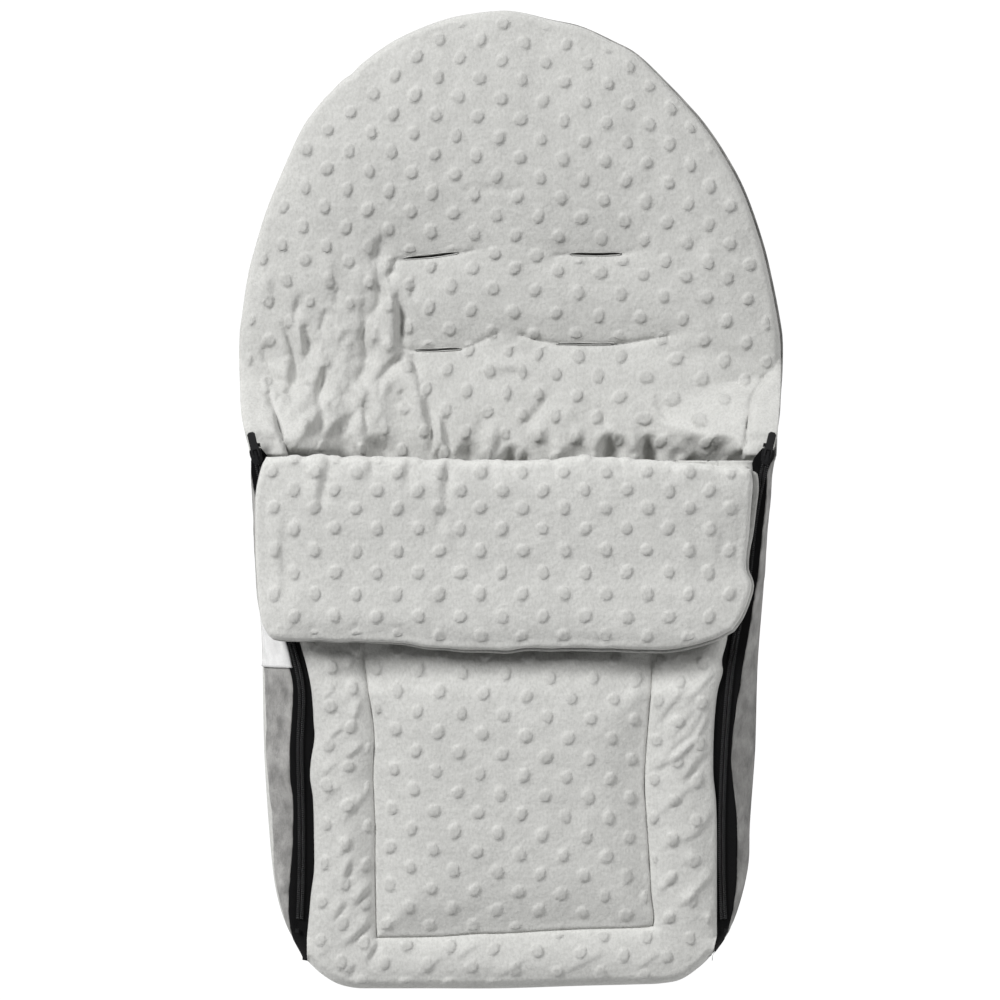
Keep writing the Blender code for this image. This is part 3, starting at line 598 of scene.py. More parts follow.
def woven(name, colour, roughness, period, depth):
    """A woven tape: twill ribs both ways, a period apart."""
    material, tree, main = shader(name, colour, roughness, Specular_IOR_Level=0.18)
    heights = []
    for direction, scale in (("X", 1.0), ("Y", 1.0), ("DIAGONAL", 0.5)):
        wave = placed_texture(
            tree, "ShaderNodeTexWave", Scale=scale * 0.314 / period, Distortion=0.6, Detail=1
        )
        wave.bands_direction = direction
        heights.append(wave.outputs["Fac"])
    # painted shade in the weave's grooves and painted light on its ribs' crests, following the height
    # of the ribs' bump
    shade = ramp(tree, heights[1], (0.2, scaled(colour, 0.7)), (0.8, scaled(colour, 1.5)))
    patch = ramp(tree, noise_node(tree, 90, 2), (0.3, 0.8), (0.7, 1.0))
    tree.links.new(multiply(tree, shade, patch), main.inputs["Base Color"])
    bumps(tree, main, *((height, depth, 0.6) for height in heights))
    return material


def moulded(name, colour, roughness, coat=0.0):
    """Plastic or enamel, with a fine grain."""
    material, tree, main = shader(name, colour, roughness, Coat_Weight=coat)
    dark, light = scaled(colour, 0.8), scaled(colour, 1.25)
    shade = ramp(tree, noise_node(tree, 60, 3), (0.35, dark), (0.65, light))
    tree.links.new(shade, main.inputs["Base Color"])
    grain = noise_node(tree, 700, 3)
    gloss = map_range(tree, grain, To_Min=roughness - 0.08, To_Max=roughness + 0.1)
    tree.links.new(gloss.outputs["Result"], main.inputs["Roughness"])
    bumps(tree, main, (grain, 0.0001, 0.25))
    return material


bare = bpy.data.materials.new("bare")
LIGHT = (0.625, 0.625, 0.605)
GREY = (0.345, 0.340, 0.331)
dimple = fleece("dimple_fleece_cloth", LIGHT)
# painted light: the apron, the cuff and the fold's turn take a copy of the same fleece 10% lighter, to
# make up for the shade of the apron's tilt away from the key lamp
painted_light_dimple = fleece("dimple_fleece_painted_light_cloth", scaled(LIGHT, 1.10))
plain_light = fleece("light_fleece_cloth", scaled(LIGHT, 0.985), pile=1.3)
plain_grey = fleece("grey_fleece_cloth", GREY, pile=1.5, mottle=0.42, sheen=0.15)
hem_grey = fleece("grey_hem_cloth", scaled(LIGHT, 0.86), pile=1.3, mottle=0.12)
lip_cloth = woven("slot_edge_cloth", (0.42, 0.42, 0.405), 0.85, 0.0011, 0.0001)
tape_cloth = woven("zip_tape_weave", (0.003, 0.003, 0.0034), 0.85, 0.0009, 0.00012)
coil_plastic = moulded("zip_coil_plastic", (0.016, 0.016, 0.017), 0.42)
enamel = moulded("slider_enamel", (0.010, 0.010, 0.011), 0.32, coat=0.3)
rubber = moulded("pull_rubber", (0.012, 0.012, 0.013), 0.5)
satin = woven("label_satin", (0.86, 0.86, 0.85), 0.42, 0.0004, 0.00004)

# Camera

camera = bpy.data.cameras.new("camera")
camera.sensor_width = 36
camera.lens = 36 * (CAMERA[2] - FOCUS) / (1000 * PIXEL)
camera.clip_end = 50
camera_object = bpy.data.objects.new("camera", camera)
camera_object.location = CAMERA
scene.collection.objects.link(camera_object)
scene.camera = camera_object

# Plan lines. The picture places run from the foot upwards, and from left to right.

LEFT = [
    (303, 956), (295, 941), (284, 918), (276, 888), (271, 847), (266, 778), (264, 728), (263, 665),
    (261, 621), (257, 593), (255, 549), (254, 493), (254, 455), (250, 437), (244, 410), (240, 363),
    (240, 334), (242, 318), (248, 277), (255, 249), (267, 210), (282, 173), (298, 137), (309, 118),
    (326, 97),
]
RIGHT = [
    (712, 954), (716, 950), (732, 925), (743, 892), (749, 860), (750, 824), (755, 755), (756, 728),
    (758, 660), (764, 583), (766, 538), (770, 485), (772, 464), (774, 446), (777, 424), (782, 383),
    (783, 342), (780, 318), (773, 282), (763, 241), (745, 190), (724, 151), (704, 122), (690, 106),
]
HOOD = [
    (326, 97), (333, 90), (343, 80), (352, 74), (363, 63), (392, 42), (426, 26), (458, 16), (500, 10.6),
    (525, 13), (549, 19), (581, 26), (614, 41), (639, 55), (675, 90), (690, 106),
]
FOOT = [
    (303, 956), (306, 959), (321, 973), (337, 983), (355, 987.5), (377, 988), (430, 988), (500, 988),
    (580, 985.5), (640, 984), (661, 983), (681, 979), (700, 966), (712, 954),
]
RIM_Z = 0.006
left_edge, right_edge, hood_edge, foot_edge = (
    smooth_line(at(points, RIM_Z)) for points in (LEFT, RIGHT, HOOD, FOOT)
)


def edge_x(y, side):
    """The outline's x on one side, signed."""
    line = left_edge if side < 0 else right_edge
    return np.interp(y, line[:, 1], line[:, 0])


def drawn_in(line, *amounts):
    """The line moved to its left by these amounts, in metres, given at even shares."""
    places = np.linspace(0, 1, len(line))
    amount = np.interp(places, np.linspace(0, 1, len(amounts)), amounts)
    return line + leftward(line) * amount[:, None]


def zip_x(u, side):
    """The zip's middle line, unsigned: the CAD's arc, with a part of the real one's waves."""
    arc = 1.561619 - np.sqrt(1.390119**2 - (u - 0.119) ** 2)
    if side > 0:
        return arc + 0.004 * bump(u, 0.325, 0.040)
    return arc + 0.005 * bump(u, 0.34, 0.045) - 0.0055 * bump(u, 0.238, 0.036)


# Back panel: a padded quilt in dimple fleece on a plain fleece shell

# The ends of each slot in the picture, then the ends of the crease it lies in
SLOTS = {
    "upper_slot_left": ((404, 259), (458, 253), (390, 261), (474, 250)),
    "upper_slot_right": ((570, 254.5), (621, 254), (556, 256), (632, 252)),
    "lower_slot_left": ((415, 350.5), (461, 349), (402, 348), (497, 333)),
    "lower_slot_right": ((556, 343.5), (616, 344), (522, 335), (668, 336)),
    "buckle_slot": ((484.5, 634.5), (538.5, 634.5), (476, 634.5), (547, 634.5)),
}
hood_rows = [80 + 19.4 * n for n in range(-4, 10)] + [269, 289.6, 312, 332.6, 352]
hood_rows += [372 + 20.9 * n for n in range(32)]
HOOD_DOTS = lattice((523, 80), 43.5, hood_rows, -4, 0.042, HOOD_Z)
# The gathered fabric left of the slots and at the mouth, for ridges()
HOOD_FOLDS = [
    (-4.6, 3.2, (397, 299), (401, 317), (399.5, 343)), (-3.2, 3.4, (377, 284), (380, 300), (372, 314)),
    (-5.0, 4.2, (363, 309), (367, 321), (363.5, 336), (366, 351), (366, 366), (358, 381)),
    (-2.8, 2.6, (389, 275), (393, 264)), (-3.4, 5.0, (376, 258), (380, 245)),
    (-2.4, 3.0, (322, 328), (324, 315)), (-4.4, 3.2, (304, 330), (307, 344), (306, 357)),
    (-3.8, 3.4, (284, 326), (291, 344), (294, 360), (295, 377)), (-2.6, 3.0, (295, 315), (299, 299)),
    (-3.0, 4.0, (295, 377), (288, 399), (284, 415)), (-4.0, 3.2, (324.5, 373), (319, 393), (319, 404)),
    (-3.8, 3.0, (321, 417), (320.5, 429), (314, 436)), (-4.2, 4.6, (358, 413), (341, 429), (326, 446)),
    (-2.6, 2.8, (364, 406), (366, 426)), (-3.4, 3.6, (402, 356), (388, 369), (378, 381)),
    (-2.2, 3.0, (413, 358), (417, 373)), (-3.6, 3.2, (426, 404), (431, 425), (433, 453)),
    (-3.2, 3.2, (444, 421), (448, 440), (452, 455)), (-2.2, 3.0, (402, 394), (406, 403)),
    (-1.8, 3.0, (413, 283), (413, 296)), (-1.6, 3.4, (337, 293), (336, 302)),
    (-2.0, 3.4, (264, 350), (266, 360)), (-2.2, 3.0, (279, 400), (277, 406)),
    (3.8, 5.0, (389, 290), (393, 341)), (2.0, 5.0, (358, 264), (360, 296)),
    (3.4, 4.6, (298, 322), (302, 355)), (3.0, 4.8, (285, 364), (286, 385)),
    (3.0, 6.5, (324, 355), (305, 398), (292, 407)), (2.4, 8.0, (344, 352), (334, 396), (335, 418)),
    (3.6, 4.6, (317, 416), (300, 441)), (3.2, 4.4, (390, 343), (395, 353)),
    (3.2, 5.5, (408, 366), (418, 402), (425, 440)), (2.6, 4.0, (437, 418), (441, 451)),
    (2.2, 4.0, (359.5, 407), (362, 438)), (2.8, 8.5, (383, 381), (378, 406), (386, 425)),
    (2.4, 6.0, (265, 281), (264, 290)), (2.6, 4.6, (362, 393), (362, 398)),
    (2.2, 4.5, (339, 331), (339, 335)), (2.4, 4.5, (373, 331), (374, 337)),
    (2.0, 4.5, (322, 358), (322, 364)), (1.6, 4.0, (370, 270), (372, 284)),
    (1.4, 5.0, (330, 262), (326, 290)), (2.6, 5.0, (655, 405), (672, 427), (702, 436), (738, 441)),
    (2.0, 4.0, (632, 430), (634, 452)), (2.0, 4.0, (667, 430), (664, 452)),
    (2.0, 5.0, (492, 425), (490, 455)), (1.6, 5.0, (540, 420), (546, 452)),
    (-1.3, 5.0, (498, 356), (514, 355), (531, 349)), (1.2, 6.0, (497, 366), (523, 364)),
    (-1.0, 5.0, (502, 376), (520, 373)), (-2.2, 4.0, (547, 395), (539, 410), (523, 426)),
    (-2.2, 3.2, (600, 410), (607, 430)), (-2.4, 3.0, (655, 400), (663, 414), (673, 428)),
    (1.8, 6.0, (570, 404), (566, 428)), (2.6, 4.6, (540, 432), (540, 437)),
    (2.6, 4.6, (577, 431), (578, 436)), (2.4, 4.4, (521, 449), (521, 453)),
    (2.4, 4.4, (559, 447), (559, 451)), (2.4, 4.4, (655, 440), (655, 444)),
    (2.2, 4.4, (687, 452), (688, 456)), (-1.8, 3.4, (768, 402), (771, 412), (769, 425)),
    (-1.2, 6.0, (255, 385), (259, 412), (262, 440)), (-1.8, 3.4, (503, 436), (497, 452)),
    (-1.8, 5.0, (486, 410), (478, 440)), (-1.4, 5.0, (588, 408), (596, 436)),
]
# Where the lining falls away under the fold: the middle and half the width across the picture,
# where it starts up the picture, and how deep in mm
MOUTH_FALLS = [
    (343, 14, 428, 8), (380, 16, 431, 9), (470, 12, 436, 10), (514, 16, 441, 13), (577, 13, 438, 6),
    (612, 15, 430, 17), (652, 14, 430, 16), (694, 18, 432, 9), (722, 17, 432, 10), (440, 7, 440, 5),
]
MOUTH_CREASE = {
    -1: [
        (289, 470), (289, 456), (287, 446), (281, 432), (273, 406), (267, 388), (262, 366), (252, 345),
        (243, 330),
    ],
    1: [
        (741, 470), (741, 456), (744, 436), (748, 416), (754, 400), (765, 380), (770, 360), (777, 340),
        (782, 330),
    ],
}
WALL_FOOT_Y, WALL_MOUTH_Y, MOUTH_Y = -0.360, 0.121, 0.036


def wall_top_z(y):
    """Height of the wall's top beside the zip, and down its slope past the mouth."""
    side_z = plane_z(np.minimum(y, MOUTH_Y), 0.0022)
    side_z = side_z - 0.0075 * fade((y - WALL_FOOT_Y) / 0.03)
    return side_z + (0.0100 - side_z) * ease((y - MOUTH_Y) / (WALL_MOUTH_Y - MOUTH_Y))


def past_crease(xy):
    """For each side, how far places are from the rim, and how far the crease there is."""
    y = xy[..., 1]
    for side in (-1, 1):
        crease = smooth_line(at(MOUTH_CREASE[side], 0.05))
        edge = np.abs(edge_x(y, side))
        wide = edge - np.abs(np.interp(y, crease[:, 1], crease[:, 0]))
        yield edge - side * xy[..., 0], np.maximum(wide, 0.0055)


def carried_up(xy, floor_z):
    """How far the quilt is carried up over the walls' ends beside the mouth."""
    y = xy[..., 1]
    crest = wall_top_z(y) + 0.0010 - 0.0050 * fade((y - 0.046) / 0.012)
    total = np.zeros(y.shape)
    for gap, wide in past_crease(xy):
        top = crest - 0.0030 * (1 - swell(gap / 0.006))
        top -= 0.0030 * ease(gap / wide) ** 3
        total += np.maximum(top - floor_z, 0) * fade((gap - wide) / 0.0026 + 0.9)
    return total * ease((y - 0.029) / 0.008) * fade((y - 0.105) / 0.03)


def slot_gap(xy, names):
    """Distance to the nearest of these slots."""
    return distance(xy, *(at(SLOTS[name][:2], SLOT_Z) for name in names))


def mouth_fall(xy, centre, half, start, depth):
    """How deep the lining falls away in one hollow under the fold."""
    x, y = xy[..., 0], xy[..., 1]
    (px, py), (qx, _) = at([(centre, start), (centre + half, start)], MOUTH_Z)
    t = (x - px + 0.0022 * rough(x, y, 0.013, 17)) / (qx - px)
    along_y = ease((py - 0.007 * t**2 - y) / 0.016) * ease((y + 0.02) / 0.03)
    return depth * 0.001 * np.exp(-(np.abs(t) ** 2.3)) * along_y


def quilt_height(xy, inset):
    """Height of the back quilt's cloth, without its dots."""
    x, y = xy[..., 0], xy[..., 1]
    z = 0.0036 + 0.0056 * swell(inset / 0.0065)
    padding = 0.0066 * swell((inset - 0.001) / 0.014) + 0.0018 * ease(inset / 0.06)
    z += padding * ease((y + 0.4) / 0.15)
    z += 0.0008 * rough(x, y, 0.045, 11) * ease((inset - 0.006) / 0.02)
    z += 0.0080 * bump(y, 0.062, 0.036) * ease((inset - 0.02) / 0.04)
    for gap, wide in past_crease(xy):
        beside = fade((gap - wide) / 0.075) * ease((y - 0.012) / 0.03)
        level = wall_top_z(y) - 0.0095 - 0.006 * fade((y - 0.030) / 0.016)
        level += 0.005 * ease((y - 0.05) / 0.03)
        z += np.maximum(level - z, 0) * beside * ease(gap / 0.01)
    for fall in MOUTH_FALLS:
        z -= mouth_fall(xy, *fall)
    for name, (a, b, first, last) in SLOTS.items():
        gap = distance(xy, smooth_line(at([first, a, b, last], SLOT_Z), 0.006))
        groove = 0.0044 if name == "lower_slot_right" else 0.0022
        sunk = 0.0030 * bump(gap, 0, 0.013) + groove * np.exp(-gap / 0.0022)
        z -= sunk * ease((inset - 0.01) / 0.02)
    z = np.where(inset > 0.01, np.maximum(z, 0.0064), z)
    return z + carried_up(xy, z)


# Long shallow creases of the hood: points in the picture, depth and width
HOOD_CREASES = (
    ([(655, 165), (672, 198), (690, 225), (698, 240)], 0.0016, 0.010),
    ([(468, 191), (492, 189), (520, 191)], 0.0012, 0.004),
    ([(630, 130), (642, 150), (655, 172)], 0.0010, 0.008),
    ([(489, 380), (510, 372), (540, 384)], 0.0012, 0.006),
    ([(269, 396), (274, 408), (283, 434), (289, 452)], 0.0040, 0.0022),
    ([(766, 377), (752, 402), (746, 425), (741, 456)], 0.0030, 0.0022),
)


def crease_lines(xy):
    z = np.zeros(xy.shape[:-1])
    for points, depth, width in HOOD_CREASES:
        z -= depth * bump(distance(xy, smooth_line(at(points, SLOT_Z), 0.006)), 0, width)
    return z


def back_grid(u, v, rim):
    """Plan grid over the back, drawn in from the outline on the left, the hood and the right, and
    how far its places are from its edge."""
    left = drawn_in(left_edge, -rim[0], -rim[0])
    right = drawn_in(right_edge, rim[2], rim[2])
    hood = drawn_in(hood_edge, -rim[1], -rim[1], -rim[2])
    foot = drawn_in(foot_edge, rim[0], rim[0])
    left[-1] = hood[0] = (left[-1] + hood[0]) / 2
    right[-1] = hood[-1] = (right[-1] + hood[-1]) / 2
    left[0] = foot[0] = (left[0] + foot[0]) / 2
    right[0] = foot[-1] = (right[0] + foot[-1]) / 2
    xy = coons(foot, hood, left, right, u, v)
    edge = np.vstack([foot, right[1:], hood[::-1][1:], left[::-1][1:]])
    return xy, distance(xy, edge)


def quilt_grid(u, v):
    xy, inset = back_grid(u, v, (-0.0005, -0.0003, 0.0019))
    return np.dstack([xy, quilt_height(xy, inset)]), inset


STEP = 0.0018
fine_u = shares(0.44, STEP, 0.012, 0.012, close=(0.018, 0.170))
low = shares(0.37, 0.0036, 0.012) * 0.5
high = 0.5 + shares(0.40, STEP, 0, 0.012, close=(0.025, 0.200)) * 0.5
fine_v = np.concatenate([low[:-1], high])
coarse_u, coarse_v = np.linspace(0, 1, 84), np.linspace(0, 1, 150)

# The cloth is cut wider where it gathers, swells on the coarse grid and keeps to its seams
coarse, inset = quilt_grid(coarse_u, coarse_v)
x, y = coarse[..., 0], coarse[..., 1]
slack = 0.12 * bump(x, -0.135, 0.075) * ease((y - 0.005) / 0.04) * ease((0.245 - y) / 0.08)
slack = slack + 0.02 * ease(y / 0.05)
widths = np.diff(x, axis=1) * (slack[:, 1:] + slack[:, :-1]) / 2
shift = np.concatenate([np.zeros((len(coarse_v), 1)), np.cumsum(widths, axis=1)], 1)
middle = len(coarse_u) // 2
shift -= shift[:, middle : middle + 1]
cut = coarse.copy()
cut[..., 0] += shift
harness = [name for name in SLOTS if name != "buckle_slot"]
hold = (inset < 0.004) | (slot_gap(coarse[..., :2], harness) < 0.0035) | (y < -0.03)
floor_grid = coarse.copy()
floor_grid[..., 2] = 0.0026
swelled = puffed([(coarse, floor_grid)], [hold.astype(float)], [cut], 5, 0.011)[0]
moved = finer(swelled - coarse, fine_u, fine_v)

quilt, inset = quilt_grid(fine_u, fine_v)
plan = quilt[..., :2].copy()
x, y = plan[..., 0], plan[..., 1]
fabric_x = x + finer(shift[..., None], fine_u, fine_v)[..., 0] * 0.8
# the crease through the lower right slot swallows a part of the cloth
beyond = ease((x - 0.085) / 0.085)
below = ease((0.1282 - y) / 0.005) * (1 - beyond) + ease((0.061 - y) / 0.016) * beyond
fabric_x += 0.0156 * ease((x + 0.02) / 0.06) * below
quilt += moved * ease(inset / 0.006)[..., None]
inner = ease((inset - 0.004) / 0.012)
quilt[..., 2] += (1.35 * ridges(plan, HOOD_FOLDS, HOOD_Z) + crease_lines(plan)) * inner
rolled = ease(carried_up(plan, 0.022) / 0.006)
(gather_x, gather_y), (gather_side, _) = at([(342, 372), (402, 372)], HOOD_Z)
gather_share = ((x - gather_x) / (gather_side - gather_x)) ** 4
gathered = np.exp(-gather_share - ((y - gather_y) / 0.058) ** 4)
shown = ease((inset - 0.004) / 0.006) * ease((slot_gap(plan, SLOTS) - 0.001) / 0.006) * (1 - rolled)
lift, near = dots(fabric_x, y, HOOD_DOTS)
lift = lift * shown * (1 - 0.6 * gathered)
near = near * shown * (1 - 0.3 * gathered)
uneven = 0.00024 + 0.0006 * gathered + 0.0005 * rolled
lift += uneven * rough(x, y * 0.7, 0.009, 21) * inner
quilt += normals(quilt) * lift[..., None]
under = quilt.copy()
under[..., 2] = 0.0027 + 0.0006 * fade(inset / 0.006)
under[..., 2] += np.maximum(carried_up(plan, 0.0092) - 0.010, 0)
back_quilt = solid("back_quilt", [(quilt, under)], "back", dimple, near=[near])
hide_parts("back_lining", "back_padding")


def quilt_top(xy):
    """The finished quilt's height at a plan place."""
    gap = ((quilt[..., :2] - xy) ** 2).sum(-1)
    near = np.argsort(gap, axis=None)[:12]
    return float(np.median(quilt[..., 2].ravel()[near]))


shell_u, shell_v = (shares(length, 0.008, 0.02, 0.02, 0.001) for length in (0.44, 0.80))
shell_xy, shell_inset = back_grid(shell_u, shell_v, (0.0, 0.0, 0.0))
rise = 0.0026 * fade(shell_inset / 0.009)
shell_under = np.maximum(rise - 0.0004, 0.0) + 0.0002 * (shell_inset < 1e-4)
shell = np.dstack([shell_xy, 0.0021 + rise]), np.dstack([shell_xy, shell_under])
back_fleece = solid("back_fleece", [shell], "back", plain_grey)
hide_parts("back_shell")


def slot_loop(a, b, width, count=48):
    """Points round a slit from a to b."""
    length = math.hypot(*(b - a))
    way = (b - a) / length
    side = np.array([-way[1], way[0]])
    angle = np.linspace(0, 2 * math.pi, count, endpoint=False)
    c, s = np.cos(angle), np.sin(angle)
    reach = np.sign(c) * np.abs(c) ** 0.5
    sag = 0.0002 * np.sin(reach * 4.1 + a[0] * 90)
    across = np.outer(s * np.abs(s) ** 0.5 * width / 2 + sag, side)
    return (a + b) / 2 + np.outer(reach * length / 2, way) + across


def cut_slot(target, hole):
    """Cuts a slot's hole through a layer."""
    rings = [np.column_stack([hole, np.full(len(hole), z)]) for z in (-0.01, 0.05)]
    cutter = loft("cutter", rings, None, bare)
    cut_away = target.modifiers.new("slot", "BOOLEAN")
    cut_away.object = cutter
    cut_away.solver = "EXACT"
    bpy.context.view_layer.objects.active = target
    bpy.ops.object.modifier_apply(modifier=cut_away.name)
    bpy.data.objects.remove(cutter)


# The lips' section: how far out from the hole, and the share of the quilt's height
LIPS = [
    (0.0003, 0.45), (-0.0001, 0.6), (-0.0001, 0.95), (0.0003, 1.0), (0.0008, 1.0), (0.0010, 0.96),
    (0.0007, 0.9), (0.0005, 0.6),
]


def slot_lips(name, a, b, hole):
    """The sewn edge round a slot's hole."""
    rings = []
    for place in hole:
        share = np.clip((place - a) @ (b - a) / ((b - a) @ (b - a)), 0, 1)
        out = place - a - share * (b - a)
        out = out / max(np.linalg.norm(out), 1e-9)
        height = quilt_top(place + out * 0.001)
        rings += [(*(place + out * reach), 0.0004 + part * height) for reach, part in LIPS]
    index = np.arange(len(rings)).reshape(len(hole), len(LIPS))
    right, up = np.roll(index, -1, 1), np.roll(index, -1, 0)
    faces = np.stack([index, right, np.roll(right, -1, 0), up], -1).reshape(-1, 4)
    return make(name + "_lips", rings, faces, "back", lip_cloth)


SLOT_WIDTHS = {"lower_slot_left": 0.0013, "lower_slot_right": 0.0005}
for name, (a, b, *_) in SLOTS.items():
    a, b = at([a, b], 0.012)
    hole = slot_loop(a, b, SLOT_WIDTHS.get(name, 0.0019))
    # the two layers' slits lie a little apart, as loose cloth does
    for target, shift_y in ((back_quilt, 0.0), (back_fleece, -0.0028)):
        cut_slot(target, hole + np.array([0, shift_y]))
    lips = slot_lips(name, a, b, hole)
    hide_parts(name.replace("slot", "slot_binding"))

# Front apron

hidden_u = np.array([FOLD_U, 0.40, 0.375, 0.35, 0.325, 0.30])


def hidden_edge(side, inwards):
    """Plan line beside the zip under the cuff, where the picture doesn't show it."""
    x = side * (zip_x(hidden_u, side) - inwards)
    return np.column_stack([x, HINGE_Y + hidden_u * COS])


def apron_edge(side, points):
    line = np.vstack([hidden_edge(side, 0.0085), on_apron(points, 0.003)])
    return smooth_line(line[::-1])


# The apron's fleece edge along each zip, from the fold down to the foot, and its seams
BORDER_LEFT = [
    (299, 640), (306, 664), (311, 688), (313, 710), (313.5, 722), (314.5, 738), (311, 760), (310, 778),
    (313, 800), (314, 840), (314, 870), (311, 893), (309, 915), (307, 936),
]
BORDER_RIGHT = [
    (727, 640), (722, 660), (723, 672), (718, 690), (715, 715), (713.5, 745), (713.5, 775), (716, 800),
    (717, 830), (717, 870), (717, 905), (717, 936),
]
SEAM_LEFT = [
    (377, 938), (376, 920), (375, 870), (375, 824), (373, 778), (374, 732), (367, 684), (363.6, 654),
    (362, 600), (362, 520), (362, 455),
]
SEAM_RIGHT = [
    (653, 926), (654, 915), (651.5, 897), (650, 870), (647, 824), (644.6, 782), (647, 739),
    (651.5, 686), (653, 654), (654, 600), (655, 520), (655, 455),
]
SEAM_FOOT = [
    (377, 938), (438, 937), (480, 934), (500, 934), (569, 930), (638, 928), (653, 926),
]
apron_left, apron_right = apron_edge(-1, BORDER_LEFT), apron_edge(1, BORDER_RIGHT)
seam_left, seam_right, seam_foot = (
    smooth_line(on_apron(points)) for points in (SEAM_LEFT, SEAM_RIGHT, SEAM_FOOT)
)
uprights = [apron_left, seam_left, seam_right, apron_right]
top_y = HINGE_Y + (FOLD_U - 0.0065) * COS
for line in uprights:
    line[-1, 1] = top_y
rim_line = smooth_line(at(FOOT, 0.005), 0.002)
corners = [int(np.argmin(np.abs(rim_line[:, 0] - line[0, 0]))) for line in (seam_left, seam_right)]
corners = [3, *corners, len(rim_line) - 2]
foot_line = rim_line[corners[0] : corners[-1] + 1]

# Six blocks, each between four lines: three at the foot and three above them
feet = [rim_line[a : b + 1] for a, b in zip(corners, corners[1:])]
levels = [straight(a[0], b[0]) for a, b in zip(uprights, uprights[1:])]
levels[1] = seam_foot
tops = [straight(a[-1], b[-1]) for a, b in zip(uprights, uprights[1:])]
low_uprights = [straight(rim_line[k], line[0]) for k, line in zip(corners, uprights)]
apron_blocks = {}
for ending, bottoms, ceilings, sides in (
    ("_low", feet, levels, low_uprights),
    ("", levels, tops, uprights),
):
    for k, part in enumerate(("left", "middle", "right")):
        apron_blocks[part + ending] = (bottoms[k], ceilings[k], sides[k], sides[k + 1])

# Short folds for pleats(), and creases for ridges()
APRON_FOLDS = [
    (668, 671, 680, 655, 2.0, 0.8), (665, 712, 684, 690, 1.6, 0.9), (665, 765, 709, 715, 3.0, 1.1),
    (686, 777, 711, 752, 2.0, 0.8), (672, 738, 692, 712, 1.2, 0.9), (690, 700, 712, 676, 1.4, 0.8),
    (663, 892, 676, 877, 2.2, 0.6), (685, 906, 698, 892, 2.4, 0.6), (686, 864, 695, 855, 1.6, 0.6),
    (700, 891, 717, 873, 2.2, 0.8), (666, 925, 676, 915, 1.6, 0.6), (710, 922, 717, 910, 1.4, 0.6),
    (664, 812, 690, 790, 1.4, 1.0), (684, 842, 712, 815, 1.8, 0.9), (664, 850, 678, 838, 1.2, 0.8),
    (350, 668, 354, 656, 2.0, 0.7), (356, 718, 361, 703, 2.2, 0.6), (328, 740, 342, 729, 2.0, 0.7),
    (348, 758, 361, 747, 2.2, 0.7), (324, 776, 336, 764, 1.4, 0.8), (343, 882, 351, 862, 2.6, 0.8),
    (356, 905, 369, 888, 2.6, 0.8), (335, 920, 345, 904, 2.4, 0.8), (350, 944, 371, 925, 3.0, 0.8),
    (367, 962, 376, 946, 2.4, 0.7), (349, 976, 353, 966, 1.8, 0.7), (326, 800, 340, 786, 1.4, 0.9),
    (346, 820, 366, 796, 1.8, 0.9), (340, 858, 352, 840, 1.6, 0.8), (326, 700, 336, 686, 1.4, 0.8),
    (321, 958, 330, 948, 1.4, 0.8), (420, 978, 440, 962, 1.2, 1.0), (500, 980, 524, 964, 1.2, 1.0),
    (570, 974, 600, 958, 1.4, 1.0), (640, 972, 662, 956, 1.4, 0.9), (460, 960, 476, 948, 1.2, 0.9),
]
APRON_CREASES = [
    (-2.6, 2.6, (675, 654), (665, 671)), (-2.0, 2.6, (709, 661), (699, 671)),
    (-3.4, 3.0, (709, 705), (694, 733), (684, 741), (675, 749), (661, 770)),
    (-2.6, 2.6, (708, 752), (697, 764), (688, 779)), (-2.2, 2.6, (670, 712), (662, 723)),
    (-2.4, 2.6, (349, 862), (350, 872), (344, 880)), (-2.4, 2.6, (368, 894), (357, 905)),
    (-2.2, 2.6, (343, 906), (336, 918)), (-3.2, 2.8, (373, 919), (362, 932), (350, 944)),
    (-2.4, 2.6, (377, 947), (369, 962)), (-1.8, 2.6, (352, 973), (350, 980)),
]
APRON_DOTS = lattice(
    (548, 715.5), 43.6, [715.5 + 19.8 * n for n in range(-14, 15)], -14, 0.045, 0.045
)


def normal_in(xy, line):
    """Unit plan direction from the nearest point of the line towards each place."""
    best, start = np.full(xy.shape[:-1], np.inf), np.zeros_like(xy)
    for point in line[::3]:
        gap = ((xy - point) ** 2).sum(-1)
        closer = gap < best
        best = np.where(closer, gap, best)
        start[closer] = point
    return unit(xy - start + np.array([0, 0.002]))


def apron_surface(xy):
    """(top grid, under grid, how far from its zips, foot and seams, and how far it is shown) of
    the apron over a plan grid."""
    y = xy[..., 1]
    zip_gap, foot_gap = distance(xy, apron_left, apron_right), distance(xy, foot_line)
    seam_gap = distance(xy, seam_left, seam_right, seam_foot)
    shown = ease((-0.112 - y) / 0.02)
    v = 0.0012 + 0.0064 * swell(zip_gap / 0.013)
    v += shown * 0.0022 * ease(zip_gap / 0.03) * (1 - np.exp(-seam_gap / 0.012))
    v -= 0.0030 * np.exp(-seam_gap / 0.0016) + 0.0018 * bump(seam_gap, 0, 0.007)
    v -= 0.004 * fade((top_y - y) / 0.01)
    pressed = 0.0082 * ease((y + 0.160) / 0.022) * ease((zip_gap - 0.004) / 0.03)
    v -= pressed * ease((top_y - 0.03 - y) / 0.05)
    top = 0.0046 + (plane_z(y, v) - 0.0046) * swell(foot_gap / 0.009)
    inwards = normal_in(xy, foot_line) * (0.0022 * fade(foot_gap / 0.012))[..., None]
    under = plane_z(y, -0.0045 + 0.0053 * fade(zip_gap / 0.008))
    under = 0.0042 + (under - 0.0042) * swell(foot_gap / 0.013)
    under = np.minimum(under, top - 0.0006)
    grids = np.dstack([xy, top]), np.dstack([xy + inwards, under])
    return *grids, (zip_gap, foot_gap, seam_gap, shown)


